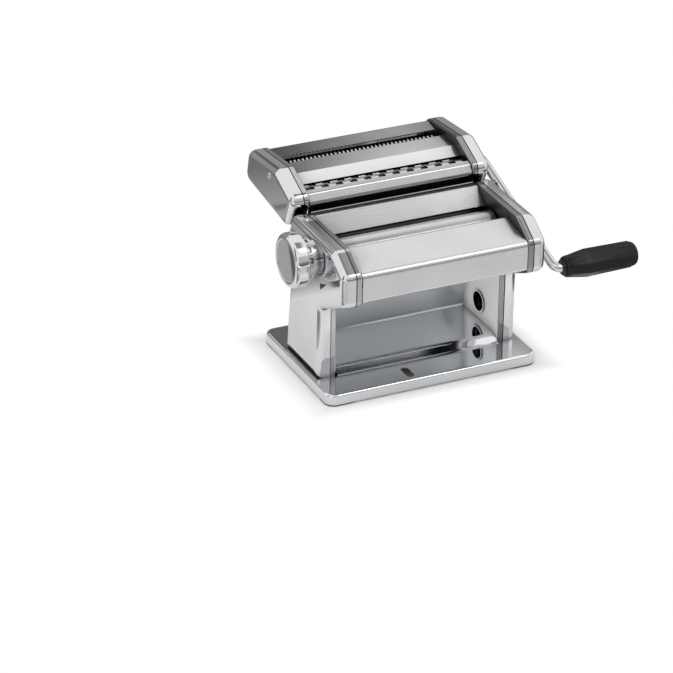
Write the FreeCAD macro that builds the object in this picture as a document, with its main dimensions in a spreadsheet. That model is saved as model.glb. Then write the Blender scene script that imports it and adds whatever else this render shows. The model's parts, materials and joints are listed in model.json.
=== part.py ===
"""Hand-cranked pasta roller machine with its double cutter head.

Millimetres and degrees. X points right, to the crank side, Y back and Z up.
The origin lies on the table, under the middle of the base.
"""
import FreeCAD, Part
import math
import os
import re

import Sketcher
from FreeCAD import Placement, Rotation, Vector

# Driving dimensions, one named value each.
SIZES = {
    # Base pan and feet
    "base_overhang": 4.5, "base_depth": 136, "base_rim": 9.4, "base_wall": 1.2,
    "base_corner": 9, "base_edge": 2.2, "foot_step": 1.4, "foot_length": 28,
    "foot_width": 22, "clamp_slot_x": -19, "clamp_slot_y": -54.5,
    "clamp_slot_width": 7, "clamp_slot_length": 18, "foot_gap": 1.1,
    "step_rise": 6.2, "step_low": 38, "step_high": 30, "step_rear": 30.2, "step_curve": 7,
    # Side housings: the inner plate and the outer shell meet at a narrow seam
    "roller_side_gap": 1.5, "plate_depth": 5, "seam_gap": 0.9, "shell_depth": 12.1,
    "side_wall": 1.2, "shell_edge": 6.8, "plate_edge": 1.8,
    # Side outline, front to back
    "leg_front": 35, "leg_rear": 33, "neck_rise": -40.5, "head_front": 84, "chin_rise": -18,
    "brow_rise": 10.5, "crown_front": 61, "head_rise": 25, "dock_top": 21,
    "dock_low": 31.5, "dock_low_rise": 0.5, "waist": 25, "waist_rise": -42.5,
    "chin_radius": 9, "crown_radius": 8, "neck_radius": 5, "waist_radius": 20,
    # Rimmed hole in each leg's inner plate
    "leg_hole_height": 34.5, "leg_hole_radius": 9, "leg_hole_rim": 1.5,
    # Sheeting rollers, at their widest gap
    "roller_radius": 13, "roller_length": 152, "roller_height": 117.5, "rear_axis": 11.2,
    "gap_widest": 4.2, "gap_travel": 3.6, "journal_radius": 5.2, "socket_radius": 3.4,
    "socket_depth": 16, "journal_run": 0.05, "press_gap": 0.02,
    "bush_radius": 7, "bush_flange": 8.6, "bush_lip": 1.6, "journal_spare": 2,
    "journal_recess": 1.5,
    # Deep-toothed roller gears
    "gear_gap": 1.1, "gear_width": 7, "gear_teeth": 10, "gear_tip": 17, "gear_root": 9,
    "gear_tip_half": 0.55, "gear_root_half": 10,
    # Carriage of the front roller
    "block_gap": 0.3, "block_width": 4, "block_front": 21, "block_rear": 12, "block_half": 10,
    "guide_gap": 0.3, "guide_width": 3, "guide_front": 24, "guide_rear": 17,
    "carriage_bar_radius": 3, "carriage_bar_back": 16.5, "carriage_bar_drop": 5.5, "slot_gap": 0.5,
    # Gap adjuster on the left side
    "dial_y": -22.4, "dial_rise": 4.5, "dial_turn": 270, "scroll_start": 8, "scroll_radius": 14.5,
    "scroll_width": 3.5, "scroll_gap": 0.8, "follower_radius": 1.6, "follower_reach": 3.4,
    "follower_gap": 0.25, "scroll_floor": 0.7, "scroll_margin": 16,
    "shaft_radius": 4, "collar_radius": 15.8, "collar_width": 4, "collar_sleeve": 6, "collar_tail": 2,
    "knob_gap": 0.3, "hub_radius": 15, "hub_width": 7.2,
    "hub_floor": 3.2, "cap_radius": 24, "cap_width": 13, "cap_recess": 1.2, "cap_face": 17,
    "cap_edge": 4.5, "cap_back_edge": 2, "spring_bore": 8.2, "cap_wall": 1.9, "ring_radius": 18,
    "retainer_radius": 7, "retainer_width": 1.5, "retainer_head": 1.7, "retainer_head_radius": 3.5,
    "shaft_end_gap": 0.7, "spring_radius": 5.8, "spring_wire": 0.45, "spring_turns": 4,
    "spring_gap": 0.3,
    # Bent sheets of the head
    "sheet": 1, "sheet_end_gap": 0.3, "bend": 2, "cover_bend": 5, "crest_bend": 3, "blade_bend": 1,
    "cover_throat_y": 34.5, "cover_throat_rise": 9,
    "cover_crest_y": 44.5, "cover_crest_rise": 17.3, "cover_brow_drop": 0.5, "cover_setback": 0.5,
    "cover_chin_rise": 3.5, "cover_lip_back": 6, "cover_lip_rise": 1.2,
    "chute_low_y": -4, "chute_low_rise": 11.4, "chute_top_y": 11.5, "chute_top_drop": 1.5,
    "chute_end_gap": 2.1,
    "panel_inset": 0.7, "blade": 0.8, "blade_gap": 0.45, "blade_angle": 30.5, "blade_length": 14.6,
    "blade_tilt": 15.6, "rear_blade_length": 8.7, "blade_flange": 4,
    # Rods and studs that hold the housings together
    "rod_radius": 3, "front_rod_y": -70, "front_rod_rise": -5.5, "top_rod_y": 15, "top_rod_rise": 17.5,
    "rear_rod_y": 23, "rear_rod_rise": -19.5, "stud_radius": 3, "head_stud_y": -68, "head_stud_rise": -3.5,
    "neck_stud_y": -5, "neck_stud_rise": -32.5, "leg_stud_y": 8, "leg_stud_z": 25,
    "screw_radius": 1.5, "screw_gap": 0.2, "screw_head_radius": 3, "screw_head": 2.4,
    "screw_front": -20, "screw_rear": 18, "nut_radius": 3, "nut_height": 3, "screw_tail": 1.5,
    # Cutter head outline and its docking tongues
    "cutter_gap": 2.6, "cutter_front_low": 8.2, "cutter_front_high": 33.5, "cutter_nose_y": 24,
    "cutter_nose_rise": 10, "cutter_brow_y": 54, "cutter_top_rise": 23, "cutter_rear_top_y": 114,
    "cutter_rear_top_rise": 18, "cutter_rear_y": 119, "cutter_rear_rise": -5.5, "cutter_heel_y": 114.5,
    "cutter_heel_rise": -13, "cutter_keel_y": 38, "cutter_keel_rise": -22.5, "cutter_radius": 8,
    "cutter_rear_radius": 10, "tongue_low": 9, "tongue_high": 21, "tongue_depth": 6,
    "tongue_root": 6, "tongue_gap": 0.25, "tongue_width": 2.8, "notch_overrun": 12,
    # Cutting rollers
    "cutter_rise": 29, "cutter_spacing": 17.6, "wide_front_y": 36, "fine_front_y": 74.4,
    "fine_lift": 2.5,
    "cutter_disc": 9.2, "cutter_root": 7.2, "strip_margin": 2.7, "wide_count": 11,
    "fine_count": 38, "strip_gap": 0.15, "core_gap": 1.9,
    "cutter_teeth": 12, "cutter_gear_tip": 10.1, "cutter_gear_root": 7, "cutter_tip_half": 0.6,
    "cutter_root_half": 7, "cutter_bush_radius": 7, "comb_offset": 3.5, "comb_bar": 4,
    "comb_foot_drop": 18, "comb_gap": 0.35, "comb_finger": 2,
    # Bent sheets, rods and studs of the cutter head
    "lip_y": 30.5, "lip_rise": 9.5, "nose_y": 27, "nose_rise": 8.1, "front_slope_high": 31.4,
    "front_slope_low": 11.6, "roof_front_y": 45.5, "roof_front_rise": 9, "roof_ridge_y": 57,
    "roof_ridge_rise": 14.3, "roof_rear_y": 79, "roof_rear_rise": 14.6, "hood_front_y": 91,
    "hood_front_rise": 15.6, "hood_top_y": 110.5, "hood_top_rise": 16.6, "hood_rear_y": 116.6,
    "hood_rear_rise": -5.1, "hood_heel_y": 113, "hood_heel_rise": -11.3, "cutter_rod_radius": 2.5,
    "mid_rod_y": 64, "mid_rod_rise": -8.5, "back_rod_y": 106, "back_rod_rise": 0.5, "cap_stud_y": 66,
    "cap_stud_rise": 12.5, "cap_stud_radius": 2.5, "back_stud_y": 107.2, "back_stud_rise": 4.5,
    "keel_stud_y": 41.6, "keel_stud_rise": -12.4, "cap_screw_radius": 3.2, "cap_screw_height": 1.5,
    "cap_screw_shank": 1.6, "cap_hole_gap": 1.2,
    # Crank
    "crank_radius": 4, "crank_tip": 3.3, "crank_tip_end": 2, "crank_shoulder": 0.4,
    "elbow_reach": 6.5, "crank_throw": 129, "crank_flare": 16, "crank_bend": 7, "crank_slope": 28.4,
    "grip_reach": 8, "grip_length": 70, "grip_taper": 21, "grip_neck": 9.5, "grip_swell": 12.4,
    "grip_tail": 11.6, "grip_end": 8, "grip_neck_edge": 2.7,
    "grip_run": 0.08, "grip_wall": 6, "washer_radius": 7, "washer_width": 1.2, "washer_gap": 0.3,
}

# Sizes that follow from the driving ones.
DERIVED = {
    "head_top": "roller_height + head_rise",
    "brow_height": "roller_height + brow_rise",
    "chin_height": "roller_height + chin_rise",
    "neck_height": "roller_height + neck_rise",
    "waist_height": "roller_height + waist_rise",
    "dock_low_height": "roller_height + dock_low_rise",
    "dial_height": "roller_height + dial_rise",
    "cover_throat_z": "roller_height + cover_throat_rise",
    "cover_crest_z": "roller_height + cover_crest_rise",
    "chute_low_z": "roller_height + chute_low_rise",
    "front_rod_z": "roller_height + front_rod_rise",
    "top_rod_z": "roller_height + top_rod_rise",
    "rear_rod_z": "roller_height + rear_rod_rise",
    "head_stud_z": "roller_height + head_stud_rise",
    "neck_stud_z": "roller_height + neck_stud_rise",
    "cutter_height": "roller_height + cutter_rise",
    "fine_height": "cutter_height + fine_lift",
    "cutter_nose_z": "cutter_height + cutter_nose_rise",
    "cutter_top_z": "cutter_height + cutter_top_rise",
    "cutter_rear_top_z": "cutter_height + cutter_rear_top_rise",
    "cutter_rear_z": "cutter_height + cutter_rear_rise",
    "cutter_heel_z": "cutter_height + cutter_heel_rise",
    "cutter_keel_z": "cutter_height + cutter_keel_rise",
    "lip_z": "cutter_height + lip_rise",
    "nose_z": "cutter_height + nose_rise",
    "roof_front_z": "cutter_height + roof_front_rise",
    "roof_ridge_z": "cutter_height + roof_ridge_rise",
    "roof_rear_z": "cutter_height + roof_rear_rise",
    "hood_front_z": "cutter_height + hood_front_rise",
    "hood_top_z": "cutter_height + hood_top_rise",
    "hood_rear_z": "cutter_height + hood_rear_rise",
    "hood_heel_z": "cutter_height + hood_heel_rise",
    "mid_rod_z": "cutter_height + mid_rod_rise",
    "back_rod_z": "cutter_height + back_rod_rise",
    "cap_stud_z": "cutter_height + cap_stud_rise",
    "back_stud_z": "cutter_height + back_stud_rise",
    "keel_stud_z": "cutter_height + keel_stud_rise",
    "plate_inner": "roller_length / 2 + roller_side_gap",
    "base_length": "2 * (shell_face + base_overhang)",
    "gear_start": "plate_open + gear_gap",
    "cutter_core": "plate_inner - core_gap",
    "wide_strip": "(2 * cutter_core - strip_margin) / (2 * wide_count)",
    "fine_strip": "(2 * cutter_core - strip_margin) / (2 * fine_count)",
    "crank_elbow": "shell_face + elbow_reach",
    "grip_start": "crank_elbow + crank_flare + grip_reach",
    "base_top": "foot_step + base_rim",
    "step_top": "base_top + step_rise",
    "plate_open": "plate_inner + plate_depth",
    "seam": "plate_open + seam_gap",
    "shell_face": "seam + shell_depth",
    "web_face": "plate_inner + side_wall",
    "shell_inside": "shell_face - side_wall",
    "front_axis": "rear_axis - 2 * roller_radius - gap_widest",
    "journal_end": "shell_face - journal_recess",
    "block_start": "web_face + block_gap",
    "block_end": "block_start + block_width",
    "bar_y": "front_axis - carriage_bar_back",
    "bar_z": "roller_height - carriage_bar_drop",
    "gear_end": "gear_start + gear_width",
    "scroll_inner": "block_end + scroll_gap",
    "scroll_outer": "scroll_inner + scroll_width",
    "collar_face": "shell_face + collar_width",
    "hub_start": "collar_face + knob_gap",
    "cap_start": "hub_start + hub_width",
    "cap_end": "cap_start + cap_width",
    "cavity_start": "hub_start + hub_floor",
    "cavity_end": "cap_end - cap_recess - cap_wall",
    "retainer_end": "cavity_end - shaft_end_gap",
    "shaft_end": "retainer_end - retainer_head - retainer_width",
    "sheet_half": "plate_inner - sheet_end_gap",
    "dock_run": "sqrt(pow(dock_low - dock_top; 2) + pow(head_top - dock_low_height; 2))",
    "dock_ey": "(dock_top - dock_low) / dock_run",
    "dock_ez": "(head_top - dock_low_height) / dock_run",
    "wide_rear_y": "wide_front_y + cutter_spacing",
    "fine_rear_y": "fine_front_y + cutter_spacing",
}

doc = FreeCAD.newDocument("pasta_roller")
sheet = doc.addObject("Spreadsheet::Sheet", "sizes")
finished = []


def fill_sheet():
    """Write the driving dimensions into the spreadsheet, name beside value."""
    for row, (name, value) in enumerate(SIZES.items(), 1):
        sheet.set(f"A{row}", name)
        sheet.set(f"B{row}", str(value))
        sheet.setAlias(f"B{row}", name)
    doc.recompute()


def formula(text):
    """Turn plain size names into an expression on the spreadsheet."""
    def expand(match):
        word = match.group()
        if word in DERIVED:
            return "(" + formula(DERIVED[word]) + ")"
        return "sizes." + word if word in SIZES else word
    return re.sub(r"[a-z][a-z_]*", expand, str(text))


def value(text):
    """The number that a formula gives."""
    return float(sheet.evalExpression(formula(text)))


def bind(thing, **formulas):
    """Bind properties to formulas. A double underscore stands for a dot."""
    for name, text in formulas.items():
        thing.setExpression(name.replace("__", "."), formula(text))


def keep(thing, label):
    """Give a finished sub-part its name and remember it."""
    thing.Label = label
    finished.append(thing)
    return thing


def dock(along, out):
    """A point in dock coordinates: along the docking edge and out towards the cutter head."""
    y = f"dock_low + ({along}) * dock_ey + ({out}) * dock_ez"
    z = f"dock_low_height + ({along}) * dock_ez - ({out}) * dock_ey"
    return y, z


# Sketches and features

def add(kind, name):
    """A new document object."""
    return doc.addObject(kind, name)


def new_sketch(body, role, level="0"):
    """A sketch on one of the body's origin planes, lifted to a level."""
    sketch = body.newObject("Sketcher::SketchObject", "outline")
    plane = [item for item in body.Origin.OriginFeatures if item.Role == role][0]
    sketch.AttachmentSupport = [(plane, "")]
    sketch.MapMode = "FlatFace"
    bind(sketch, AttachmentOffset__Base__z=level)
    return sketch


def pin_point(sketch, geometry, position, point):
    """Fix one point of a sketch at a pair of formulas."""
    for kind, text, axis in (("DistanceX", point[0], -2), ("DistanceY", point[1], -1)):
        if value(text) == 0:
            sketch.addConstraint(Sketcher.Constraint("PointOnObject", geometry, position, axis))
            continue
        rule = Sketcher.Constraint(kind, -1, 1, geometry, position, value(text))
        bind(sketch, **{f"Constraints[{sketch.addConstraint(rule)}]": text})


def draw_lines(sketch, points, closed=True):
    """Straight lines through points given as pairs of formulas."""
    places = [Vector(value(x), value(y), 0) for x, y in points]
    ends = places[1:] + places[:1] if closed else places[1:]
    first = sketch.GeometryCount
    for start, end in zip(places, ends):
        sketch.addGeometry(Part.LineSegment(start, end), False)
    count = len(ends)
    for index in range(count if closed else count - 1):
        following = first + (index + 1) % count
        sketch.addConstraint(Sketcher.Constraint("Coincident", first + index, 2, following, 1))
    for index in range(count):
        pin_point(sketch, first + index, 1, points[index])
    if not closed:
        pin_point(sketch, first + count - 1, 2, points[-1])


def draw_circle(sketch, x, y, radius):
    """A circle given by formulas."""
    centre = Vector(value(x), value(y), 0)
    shape = Part.Circle(centre, Vector(0, 0, 1), value(radius))
    index = sketch.addGeometry(shape, False)
    pin_point(sketch, index, 3, (x, y))
    rule = sketch.addConstraint(Sketcher.Constraint("Radius", index, value(radius)))
    bind(sketch, **{f"Constraints[{rule}]": radius})


def pad(body, sketch, length, reverse=False):
    """Extrude a sketch along its normal."""
    feature = body.newObject("PartDesign::Pad", "pad")
    feature.Profile = sketch
    feature.Reversed = reverse
    bind(feature, Length=length)
    doc.recompute()
    return feature


def pocket(body, sketch, length=None, reverse=False):
    """Cut a sketch away, through everything if no length is given."""
    before = body.Shape.Volume
    feature = body.newObject("PartDesign::Pocket", "pocket")
    feature.Profile = sketch
    if length is None:
        feature.Type = "ThroughAll"
        feature.Midplane = True
    else:
        feature.Reversed = reverse
        bind(feature, Length=length)
    doc.recompute()
    if body.Shape.Volume > before - 1e-6:
        raise RuntimeError(f"a pocket in {body.Label} cuts nothing")
    return feature


def round_edges(body, edges, radius):
    """Fillet edges of the body's last feature."""
    base = body.Tip
    feature = body.newObject("PartDesign::Fillet", "round")
    feature.Base = (base, edges)
    bind(feature, Radius=radius)
    doc.recompute()
    return feature


def names_of(kind, items, test):
    """Names such as Edge3 of the items that pass a test."""
    return [f"{kind}{number}" for number, item in enumerate(items, 1) if test(item)]


def low_high(item, axis):
    """The extent of a shape along one axis."""
    box = item.BoundBox
    return ((box.XMin, box.XMax), (box.YMin, box.YMax), (box.ZMin, box.ZMax))[axis]


def lies_at(item, axis, level):
    """Whether a shape lies in the plane at a level."""
    low, high = low_high(item, axis)
    return abs(low - level) < 1e-4 and abs(high - level) < 1e-4


def corner_edges(shape, axis, spots):
    """Straight edges along an axis that pass through spots of the outline."""
    across = [number for number in range(3) if number != axis]
    places = [(value(first), value(second)) for first, second in spots]

    def stands_there(edge):
        return any(all(lies_at(edge, way, level) for way, level in zip(across, place)) for place in places)
    return names_of("Edge", shape.Edges, stands_there)


def ring_edges(shape, x, radius):
    """Round edges of one radius about the X direction at one level."""
    def fits(edge):
        curve = edge.Curve
        return isinstance(curve, Part.Circle) and abs(curve.Radius - radius) < 1e-4 and lies_at(edge, 0, x)
    return names_of("Edge", shape.Edges, fits)


def drawn_cup(label, role, mouth, depth, grow, outline, corners, wall, edge):
    """A sheet drawn into a shallow cup, open at its mouth, with a rounded floor edge."""
    body = add("PartDesign::Body", label)
    axis = 0 if role == "YZ_Plane" else 2
    sketch = new_sketch(body, role, mouth)
    draw_lines(sketch, outline)
    pad(body, sketch, depth, reverse=grow < 0)
    for spots, radius in corners:
        round_edges(body, corner_edges(body.Shape, axis, spots), radius)
    base = body.Tip
    skin = body.newObject("PartDesign::Thickness", "skin")
    level = value(mouth)
    skin.Base = (base, names_of("Face", base.Shape.Faces, lambda face: lies_at(face, axis, level)))
    skin.Reversed = True
    bind(skin, Value=wall)
    doc.recompute()
    floor = level + grow * value(depth)
    inside = floor - grow * value(wall)
    inner = names_of("Edge", body.Shape.Edges, lambda item: lies_at(item, axis, inside))
    round_edges(body, inner, f"{edge} - {wall}")
    outer = names_of("Edge", body.Shape.Edges, lambda item: lies_at(item, axis, floor))
    round_edges(body, outer, edge)
    return body


def drill(body, role, holes):
    """Round holes right through the body."""
    sketch = new_sketch(body, role)
    for x, y, radius in holes:
        draw_circle(sketch, x, y, radius)
    pocket(body, sketch)


def draw_slot(sketch, start, end, radius):
    """A round-ended slot between two centres, along the sketch's first or second axis."""
    first = Vector(value(start[0]), value(start[1]), 0)
    second = Vector(value(end[0]), value(end[1]), 0)
    size = value(radius)
    heading = math.atan2(second.y - first.y, second.x - first.x)
    side = Vector(-math.sin(heading), math.cos(heading), 0) * size
    quarter = math.pi / 2
    up = Vector(0, 0, 1)
    near = Part.ArcOfCircle(Part.Circle(first, up, size), heading + quarter, heading + 3 * quarter)
    far = Part.ArcOfCircle(Part.Circle(second, up, size), heading - quarter, heading + quarter)
    sketch.addGeometry([near, far], False)
    sketch.addGeometry(Part.LineSegment(second + side, first + side), False)
    sketch.addGeometry(Part.LineSegment(first - side, second - side), False)
    for arc, arc_end, line, line_end in ((0, 1, 2, 2), (0, 2, 3, 1), (1, 1, 3, 2), (1, 2, 2, 1)):
        sketch.addConstraint(Sketcher.Constraint("Tangent", arc, arc_end, line, line_end))
    pin_point(sketch, 0, 3, start)
    pin_point(sketch, 1, 3, end)
    rule = sketch.addConstraint(Sketcher.Constraint("Radius", 0, size))
    bind(sketch, **{f"Constraints[{rule}]": radius})


def slot(body, role, start, end, radius):
    """A round-ended slot right through the body."""
    sketch = new_sketch(body, role)
    draw_slot(sketch, start, end, radius)
    pocket(body, sketch)


def turned(label, profile, y="0", z="0"):
    """A piece turned about the X direction from a profile of (x, radius) points."""
    body = add("PartDesign::Body", label)
    sketch = new_sketch(body, "XY_Plane")
    draw_lines(sketch, profile)
    feature = body.newObject("PartDesign::Revolution", "turning")
    feature.Profile = sketch
    feature.ReferenceAxis = (sketch, ["H_Axis"])
    feature.Angle = 360
    bind(body, Placement__Base__y=y, Placement__Base__z=z)
    doc.recompute()
    return body


def rod(start, end, y, z, radius):
    """A round rod along X."""
    item = add("Part::Cylinder", "rod")
    item.Placement = Placement(Vector(), Rotation(Vector(0, 1, 0), 90))
    bind(item, Radius=radius, Height=f"({end}) - ({start})")
    bind(item, Placement__Base__x=start, Placement__Base__y=y, Placement__Base__z=z)
    return item


def block(low, high):
    """A box between two corners given by formulas."""
    item = add("Part::Box", "block")
    bind(item, Placement__Base__x=low[0], Placement__Base__y=low[1], Placement__Base__z=low[2])
    spans = [f"({far}) - ({near})" for near, far in zip(low, high)]
    bind(item, Length=spans[0], Width=spans[1], Height=spans[2])
    return item


def post(x, y, low, high, radius):
    """A round post along Z."""
    item = add("Part::Cylinder", "post")
    bind(item, Radius=radius, Height=f"({high}) - ({low})")
    bind(item, Placement__Base__x=x, Placement__Base__y=y, Placement__Base__z=low)
    return item


def cut(base, tool):
    """One shape less another."""
    item = add("Part::Cut", "cut")
    item.Base = base
    item.Tool = tool
    return item


def fuse(*shapes):
    """Shapes joined into one solid."""
    item = add("Part::MultiFuse", "fuse")
    item.Shapes = list(shapes)
    return item


def group(label, members):
    """Like pieces kept as one named sub-part of separate solids."""
    item = add("Part::Compound", label)
    item.Links = list(members)
    return keep(item, label)


def fold_edges(body, path, thickness, bends):
    """Edges of a folded sheet at its bends, each with its radius: inner ones tight, outer ones wider."""
    spots = [Vector(0, value(y), value(z)) for y, z in path]
    chosen = []
    for before, corner, after, bend in zip(spots, spots[1:], spots[2:], bends):
        come, leave = (corner - before).normalize(), (after - corner).normalize()
        sides = [Vector(0, way.z, -way.y) for way in (come, leave)]
        far = corner + (sides[0] + sides[1]) * (thickness / (1 + sides[0].dot(sides[1])))
        places = [corner, far] if sides[0].dot(leave) < 0 else [far, corner]
        for place, radius in zip(places, (bend, bend + thickness)):
            for number, edge in enumerate(body.Shape.Edges, 1):
                if lies_at(edge, 1, place.y) and lies_at(edge, 2, place.z):
                    chosen.append((number, radius, radius))
    return chosen


def bent_sheet(label, path, half_width, thickness, bends=()):
    """A sheet folded along a path of (y, z) points; its thickness lies right of the way travelled."""
    sketch = add("Sketcher::SketchObject", "fold")
    sketch.Placement = Placement(Vector(), Rotation(Vector(1, 1, 1), 120))
    draw_lines(sketch, path, closed=False)
    bind(sketch, Placement__Base__x=f"-({half_width})")
    section = add("Part::Offset2D", "section")
    section.Source = sketch
    section.Mode = "Skin"
    section.Join = "Intersection"
    section.Fill = True
    bind(section, Value=thickness)
    body = add("Part::Extrusion", "folded")
    body.Base = section
    body.DirMode = "Custom"
    body.Dir = Vector(1, 0, 0)
    body.Solid = True
    bind(body, LengthFwd=f"2 * ({half_width})")
    doc.recompute()
    radii = [value(name) for name in bends or ["bend"] * (len(path) - 2)]
    rounded = add("Part::Fillet", label)
    rounded.Base = body
    rounded.Edges = fold_edges(body, path, value(thickness), radii)
    return keep(rounded, label)


def gear(label, start, y, z, teeth, tip, root, tip_half, root_half, bore, phase):
    """A spur gear about the X direction with straight-sided teeth."""
    tip_angle = math.asin(value(tip_half) / value(tip))
    root_angle = math.radians(value(root_half))
    corners = ((-root_angle, root), (-tip_angle, tip), (tip_angle, tip), (root_angle, root))
    points = []
    count = int(value(teeth))
    for tooth in range(count):
        middle = 2 * math.pi * (tooth + phase) / count
        for turn, radius in corners:
            reach = value(radius)
            points.append(Vector(0, reach * math.cos(middle + turn), reach * math.sin(middle + turn)))
    outline = Part.Face(Part.makePolygon(points + points[:1]))
    width = Vector(value("gear_width"), 0, 0)
    hole = Part.makeCylinder(value(bore), width.x, Vector(), Vector(1, 0, 0))
    item = add("Part::Feature", label)
    item.Shape = outline.extrude(width).cut(hole)
    item.Placement = Placement(Vector(value(start), value(y), value(z)), Rotation())
    return keep(item, label)


SIDES = (("left", -1), ("right", 1))


def out(side, level):
    """A level measured outwards from the middle plane, on one side."""
    return level if side > 0 else f"-({level})"


# Base

def base_pan():
    """Pressed pan with screw holes and the slot for a table clamp."""
    x, y = "base_length / 2", "base_depth / 2"
    corners = [(f"-{x}", f"-{y}"), (x, f"-{y}"), (x, y), (f"-{x}", y)]
    body = drawn_cup("base_pan", "XY_Plane", "foot_step", "base_rim", 1, corners,
                     [(corners, "base_corner")], "base_wall", "base_edge")
    drill(body, "XY_Plane", [(x, y, "screw_radius + screw_gap") for x, y in screw_places()])
    reach = "(clamp_slot_length - clamp_slot_width) / 2"
    ends = [("clamp_slot_x", f"clamp_slot_y {sign} {reach}") for sign in "-+"]
    slot(body, "XY_Plane", ends[0], ends[1], "clamp_slot_width / 2")
    raised_step(body)
    keep(body, "base_pan")


def raised_step(body):
    """Hollow step pressed up between the legs, with a soft slope at its front."""
    front = new_sketch(body, "YZ_Plane", "-(sheet_half)")
    draw_lines(front, [("-step_low", "base_top"), ("step_rear", "base_top"), ("step_rear", "step_top"),
                       ("-step_high", "step_top")])
    pad(body, front, "2 * sheet_half")
    slope = [("-step_low", "base_top"), ("-step_high", "step_top")]
    round_edges(body, corner_edges(body.Shape, 0, slope), "step_curve")
    hollow = new_sketch(body, "XY_Plane", "foot_step")
    x, near, far = "sheet_half - base_wall", "base_wall - step_high", "step_rear - base_wall"
    draw_lines(hollow, [(f"-({x})", near), (x, near), (x, far), (f"-({x})", far)])
    pocket(body, hollow, "step_top - base_wall - foot_step", reverse=True)


def screw_places():
    """Where the legs are screwed to the base."""
    middle = "seam + nut_radius * cos(30 deg) + screw_gap"
    return [(out(side, middle), y) for _, side in SIDES for y in ("screw_front", "screw_rear")]


def rubber_feet():
    """Four rounded blocks in the corners of the pan."""
    feet = []
    x_far = "base_length / 2 - base_wall - foot_gap"
    y_far = "base_depth / 2 - base_wall - foot_gap"
    for x_sign in (-1, 1):
        for y_sign in (-1, 1):
            x = [f"{x_sign} * ({x_far})", f"{x_sign} * ({x_far} - foot_length)"][::-x_sign]
            y = [f"{y_sign} * ({y_far})", f"{y_sign} * ({y_far} - foot_width)"][::-y_sign]
            foot = block((x[0], y[0], "0"), (x[1], y[1], "base_top - base_wall"))
            doc.recompute()
            rounded = add("Part::Fillet", "foot")
            rounded.Base = foot
            radius = value("base_corner - base_wall - foot_gap")
            upright = names_of("Edge", foot.Shape.Edges, lambda edge: low_high(edge, 2)[0] < 1e-6
                               and low_high(edge, 2)[1] > 1)
            rounded.Edges = [(int(name[4:]), radius, radius) for name in upright]
            feet.append(rounded)
    group("rubber_feet", feet)


def base_fasteners():
    """Screws from under the pan into nuts inside the legs."""
    under = "base_top - base_wall"
    seat = "base_top + side_wall"
    screws = []
    nuts = []
    for x, y in screw_places():
        head = post(x, y, f"{under} - screw_head", under, "screw_head_radius")
        shank = post(x, y, f"{under} - screw_head / 2", f"{seat} + nut_height + screw_tail", "screw_radius")
        screws.append(fuse(head, shank))
        hexagon = add("Part::Prism", "hexagon")
        hexagon.Polygon = 6
        hexagon.Placement = Placement(Vector(), Rotation(Vector(0, 0, 1), 30))
        bind(hexagon, Circumradius="nut_radius", Height="nut_height")
        bind(hexagon, Placement__Base__x=x, Placement__Base__y=y, Placement__Base__z=seat)
        nuts.append(cut(hexagon, post(x, y, seat, f"{seat} + nut_height", "screw_radius + journal_run")))
    group("base_screws", screws)
    group("base_nuts", nuts)


# Side housings

def side_outline():
    """Side view of the machine: points (y, z) from the leg's front foot round the back."""
    return [("-leg_front", "base_top"), ("leg_rear", "base_top"), ("waist", "waist_height"),
            ("dock_low", "dock_low_height"), ("dock_top", "head_top"), ("-crown_front", "head_top"),
            ("-head_front", "brow_height"), ("-head_front", "chin_height"), ("-leg_front", "neck_height")]


def side_corners():
    """Which corners of the side view are rounded, and how much."""
    spots = side_outline()
    return [(spots[3:7], "crown_radius"), (spots[7:8], "chin_radius"), (spots[8:9], "neck_radius"),
            (spots[2:3], "waist_radius")]


def outer_shells():
    """Drawn outer covers; the right one has the crank hole, the left one the dial hole."""
    for name, side in SIDES:
        body = drawn_cup(f"{name}_outer_shell", "YZ_Plane", out(side, "seam"), "shell_depth", side,
                         side_outline(), side_corners(), "side_wall", "shell_edge")
        if side > 0:
            hole = ("rear_axis", "roller_height", "journal_radius + cap_hole_gap")
        else:
            hole = ("dial_y", "dial_height", "collar_sleeve + press_gap")
        drill(body, "YZ_Plane", [hole])
        sketch = new_sketch(body, "XY_Plane", "base_top")
        for x, y in screw_places():
            if (value(x) > 0) == (side > 0):
                draw_circle(sketch, x, y, "screw_radius + screw_gap")
        pocket(body, sketch, "2 * side_wall", reverse=True)
        keep(body, f"{name}_outer_shell")


def side_plates():
    """Inner plates with bearing holes, the rimmed leg hole and the docking notch."""
    for name, side in SIDES:
        body = drawn_cup(f"{name}_side_plate", "YZ_Plane", out(side, "plate_open"), "plate_depth", -side,
                         side_outline(), side_corners(), "side_wall", "plate_edge")
        rim = new_sketch(body, "YZ_Plane", out(side, "plate_inner"))
        draw_circle(rim, "0", "leg_hole_height", "leg_hole_radius + side_wall")
        pad(body, rim, "leg_hole_rim", reverse=side > 0)
        drill(body, "YZ_Plane", [("0", "leg_hole_height", "leg_hole_radius"),
                                 ("rear_axis", "roller_height", "bush_radius + press_gap")])
        travel = " + gap_travel"
        slot(body, "YZ_Plane", ("front_axis", "roller_height"), ("front_axis" + travel, "roller_height"),
             "journal_radius + slot_gap")
        slot(body, "YZ_Plane", ("bar_y", "bar_z"), ("bar_y" + travel, "bar_z"),
             "carriage_bar_radius + slot_gap")
        low, high = "tongue_low - tongue_gap", "dock_run + notch_overrun"
        deep, clear = "-(tongue_depth + tongue_gap)", "side_wall"
        notch = new_sketch(body, "YZ_Plane", out(side, "web_face"))
        draw_lines(notch, [dock(low, deep), dock(high, deep), dock(high, clear), dock(low, clear)])
        pocket(body, notch, "2 * plate_depth", reverse=side > 0)
        keep(body, f"{name}_side_plate")


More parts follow.
